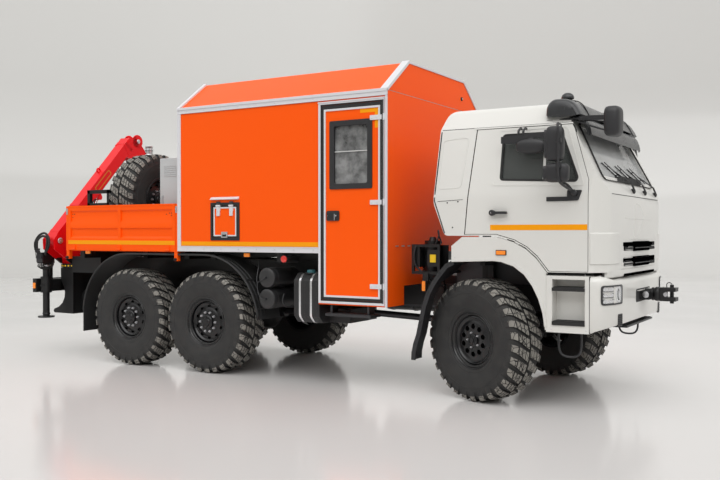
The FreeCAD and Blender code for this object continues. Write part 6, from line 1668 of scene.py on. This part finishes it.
def build_cushion(name, low, high, crown, channels, lean=0.0, along=0):
    """A padded block between two corners: crowned faces, sides drawn in, sewn channels on its top or front."""
    low, high = Vector(low), Vector(high)
    size, heart = high - low, (low + high) / 2
    kit = Kit("seat_cloth", AXLE_X)
    bmesh.ops.create_cube(kit.bm, size=2)
    bmesh.ops.subdivide_edges(kit.bm, edges=kit.bm.edges, cuts=11, use_grid_fill=True)
    thin = min(range(3), key=lambda k: size[k])
    wide = [k for k in range(3) if k != thin]
    for vert in kit.bm.verts:
        p, q = vert.co.copy(), vert.co.copy()
        swell = (1 - p[wide[0]] ** 4) * (1 - p[wide[1]] ** 4)
        for k, other in (wide, wide[::-1]):
            q[k] = p[k] * (1 - 0.035 * (1 - p[other] ** 2) - 0.06 * abs(p[thin]) ** 6)
        q[thin] = p[thin] * (0.8 + crown * swell)
        if p[thin] > 0.5:
            q[thin] -= 0.16 * swell * sum(exp(-((p[wide[along]] - c) / 0.035) ** 2) for c in channels)
        vert.co = [heart[k] + q[k] * size[k] / 2 for k in range(3)]
        vert.co.x -= (vert.co.z - low.z) * lean
    obj = kit.make(name, "cab", 0, angle=80)
    smooth = obj.modifiers.new("soft", "SUBSURF")
    smooth.levels = smooth.render_levels = 1


def build_inside():
    """Seats with padded cushions, their boxes and belts, and the dashboard."""
    x, floor = -0.16, 1.765
    kit = Kit("dash_plastic", AXLE_X)
    for tag, y, half in (("left", 0.62, 0.26), ("right", -0.62, 0.26), ("middle", 0, 0.2)):
        kit.use("dash_plastic").box(x + 0.07, x + 0.45, y - half + 0.04, y + half - 0.04, floor + 0.0003, floor + 0.235)
        kit.box(x + 0.05, x + 0.47, y - half + 0.03, y + half - 0.03, floor + 0.2, floor + 0.24)
        kit.use("seal_rubber")
        for z in (floor + 0.03 + 0.032 * k for k in range(5)):
            kit.box(x + 0.09, x + 0.43, y - half + 0.036, y + half - 0.036, z, z + 0.008)
        build_cushion("seat_cushion_" + tag, (x, y - half, floor + 0.23), (x + 0.5, y + half, floor + 0.36),
                      0.28, (-0.55, 0.55), along=1)
        build_cushion("seat_back_" + tag, (x - 0.05, y - half, floor + 0.37), (x + 0.06, y + half, floor + 0.76),
                      0.3, (-0.55, 0.55), 0.12)
        build_cushion("seat_head_" + tag, (x - 0.085, y - half * 0.55, floor + 0.79),
                      (x, y + half * 0.55, floor + 0.93), 0.25, (), 0.08)
        kit.use("chrome")
        for s in (-0.3, 0.3):
            kit.rod((x - 0.05, y + s * half, floor + 0.72), (x - 0.058, y + s * half, floor + 0.82), 0.006, seg=8)
        if y:
            out, inn = y + copysign(half, y), y - copysign(half, y)
            kit.use("seal_rubber").box(x + 0.09, x + 0.14, out - 0.012, out + 0.012, floor + 0.19, floor + 0.3)
            kit.use("red_lens").box(x + 0.1, x + 0.13, inn - 0.01, inn + 0.01, floor + 0.3, floor + 0.34)
    kit.make("seat_boxes", "cab", 0.003, 1, replaces=("seats",))

    recast("dashboard", "cab", "dash_plastic seal_rubber", 0.008,
           (lambda c, n: c.x < 0.8 and c.z > 2.06 and abs(c.y - 0.62) < 0.25,), at=AXLE_X)
    kit = Kit("trim_plastic", AXLE_X)
    kit.prism([(0.83, 2.19), (0.79, 2.235), (0.9, 2.245), (1.02, 2.2)], "y", 0.42, 0.82)
    for y in (-0.95, -0.3, 0.1, 1.02):
        kit.use("seal_rubber").prism(rect(y - 0.07, y + 0.07, 2.1, 2.155, 0.01), "x", 0.79, 0.835)
        for z in (2.107, 2.119, 2.131, 2.143):
            kit.use("trim_plastic").box(0.786, 0.8, y - 0.065, y + 0.065, z, z + 0.004)
    kit.use("lamp_grey")
    for y in (-0.14 + 0.045 * k for k in range(6)):
        kit.box(0.79, 0.815, y, y + 0.032, 2.02, 2.05)
    for y in (0.54, 0.7):
        kit.lathe([(0.05, 0), (0.045, 0.008), (0, 0.006)], (0.8, y, 2.18), (-1, 0, 0.4), 24)
    kit.make("dash_fittings", "cab", 0.002, 1)


def paint_nodes(table):
    """Gives frame nodes their finish."""
    for mat, names in table.items():
        for name in names.split():
            data = NODES[name].data
            data.materials.clear()
            data.materials.append(MATS[mat])
            for poly in data.polygons:
                poly.material_index = 0


def build_paintwork():
    """Finishes of the frame nodes that show."""
    paint_nodes({
        "chassis_black": "frame front_axle middle_axle rear_axle leaf_springs engine drive_shafts side_tanks side_rack "
                         "tow_fork rear_fenders rear_bumper crane_base tie_rod knuckle_left knuckle_right "
                         "stabiliser_leg_left stabiliser_leg_right lift_barrel",
        "cab_white": "front_bumper front_fenders cab_shell cab_door_left cab_door_right",
        "trim_plastic": "roof_trim mirror_left mirror_right",
        "cabinet_grey": "cabinet",
        "body_orange": "van_body van_roof van_door hatch_lid bed bed_side_left bed_side_right",
        "crane_red": "crane_column main_boom outer_boom boom_extension",
        "chrome": "lift_rod",
        "cab_glass": "cab_glass",
        "door_glass": "door_glass_left door_glass_right",
        "smoke_glass": "van_door_glass",
        "seat_cloth": "seats",
        "dash_plastic": "dashboard",
    })


class TRUCK_OT_finishes(bpy.types.Operator):
    """Make every finish and paint the frame"""

    bl_idname = "truck.finishes"
    bl_label = "Finishes"

    def execute(self, context):
        make_finishes(context.scene.truck_paint)
        build_paintwork()
        return {"FINISHED"}


class TRUCK_OT_stage(bpy.types.Operator):
    """Build the studio, its lights and the camera"""

    bl_idname = "truck.stage"
    bl_label = "Studio"

    def execute(self, context):
        build_stage(context.scene.truck_sizes)
        return {"FINISHED"}


class TRUCK_OT_van(bpy.types.Operator):
    """Build the van's panels, profiles, door, window and hatch"""

    bl_idname = "truck.van"
    bl_label = "Van"

    def execute(self, context):
        build_van_body()
        build_van_profiles(context.scene.truck_sizes.stripe_height)
        build_van_door()
        build_hatch()
        return {"FINISHED"}


class TRUCK_OT_bed(bpy.types.Operator):
    """Build the bed and its drop sides"""

    bl_idname = "truck.bed"
    bl_label = "Bed"

    def execute(self, context):
        build_bed(context.scene.truck_sizes.stripe_height)
        return {"FINISHED"}


class TRUCK_OT_cab(bpy.types.Operator):
    """Build the cab with its doors, glass seals, mirrors, wipers and roof gear"""

    bl_idname = "truck.cab"
    bl_label = "Cab"

    def execute(self, context):
        build_cab_body()
        build_cab_seams()
        build_door_trim(context.scene.truck_sizes.stripe_height)
        build_mirrors()
        build_roof_gear()
        build_screen_gear()
        return {"FINISHED"}


class TRUCK_OT_front_end(bpy.types.Operator):
    """Build the wheel arches, bumper and head lamps"""

    bl_idname = "truck.front_end"
    bl_label = "Front end"

    def execute(self, context):
        build_fenders()
        build_bumper()
        return {"FINISHED"}


class TRUCK_OT_chassis(bpy.types.Operator):
    """Build the chassis details, tanks, guards and lamps"""

    bl_idname = "truck.chassis"
    bl_label = "Chassis"

    def execute(self, context):
        build_chassis()
        return {"FINISHED"}


class TRUCK_OT_load(bpy.types.Operator):
    """Build the spare wheel, its carrier and the cabinet"""

    bl_idname = "truck.load"
    bl_label = "Load"

    def execute(self, context):
        build_load(context.scene.truck_sizes)
        return {"FINISHED"}


class TRUCK_OT_crane(bpy.types.Operator):
    """Build the crane and its legs"""

    bl_idname = "truck.crane"
    bl_label = "Crane"

    def execute(self, context):
        build_crane()
        return {"FINISHED"}


class TRUCK_OT_inside(bpy.types.Operator):
    """Build the seats and the dashboard"""

    bl_idname = "truck.inside"
    bl_label = "Inside"

    def execute(self, context):
        build_inside()
        return {"FINISHED"}


class TRUCK_OT_wheels(bpy.types.Operator):
    """Build the six wheels"""

    bl_idname = "truck.wheels"
    bl_label = "Wheels"

    def execute(self, context):
        build_wheels(context.scene.truck_sizes)
        return {"FINISHED"}


OPERATORS = (TRUCK_OT_finishes, TRUCK_OT_stage, TRUCK_OT_wheels, TRUCK_OT_van, TRUCK_OT_bed,
             TRUCK_OT_cab, TRUCK_OT_front_end, TRUCK_OT_chassis, TRUCK_OT_load, TRUCK_OT_crane, TRUCK_OT_inside)


class TRUCK_PT_panel(bpy.types.Panel):
    """Lists the pieces of the truck"""

    bl_label = "Repair Truck"
    bl_idname = "TRUCK_PT_panel"
    bl_space_type = "VIEW_3D"
    bl_region_type = "UI"
    bl_category = "Truck"

    def draw(self, context):
        for group in (context.scene.truck_paint, context.scene.truck_sizes):
            for name in group.__annotations__:
                self.layout.prop(group, name)
        for operator in OPERATORS:
            self.layout.operator(operator.bl_idname)


CLASSES = (TruckPaint, TruckSizes) + OPERATORS + (TRUCK_PT_panel,)


def register():
    for cls in CLASSES:
        bpy.utils.register_class(cls)
    bpy.types.Scene.truck_paint = bpy.props.PointerProperty(type=TruckPaint)
    bpy.types.Scene.truck_sizes = bpy.props.PointerProperty(type=TruckSizes)


def unregister():
    del bpy.types.Scene.truck_sizes
    del bpy.types.Scene.truck_paint
    for cls in reversed(CLASSES):
        bpy.utils.unregister_class(cls)


def main():
    register()
    for operator in OPERATORS:
        group, name = operator.bl_idname.split(".")
        getattr(getattr(bpy.ops, group), name)()


if __name__ == "__main__":
    main()
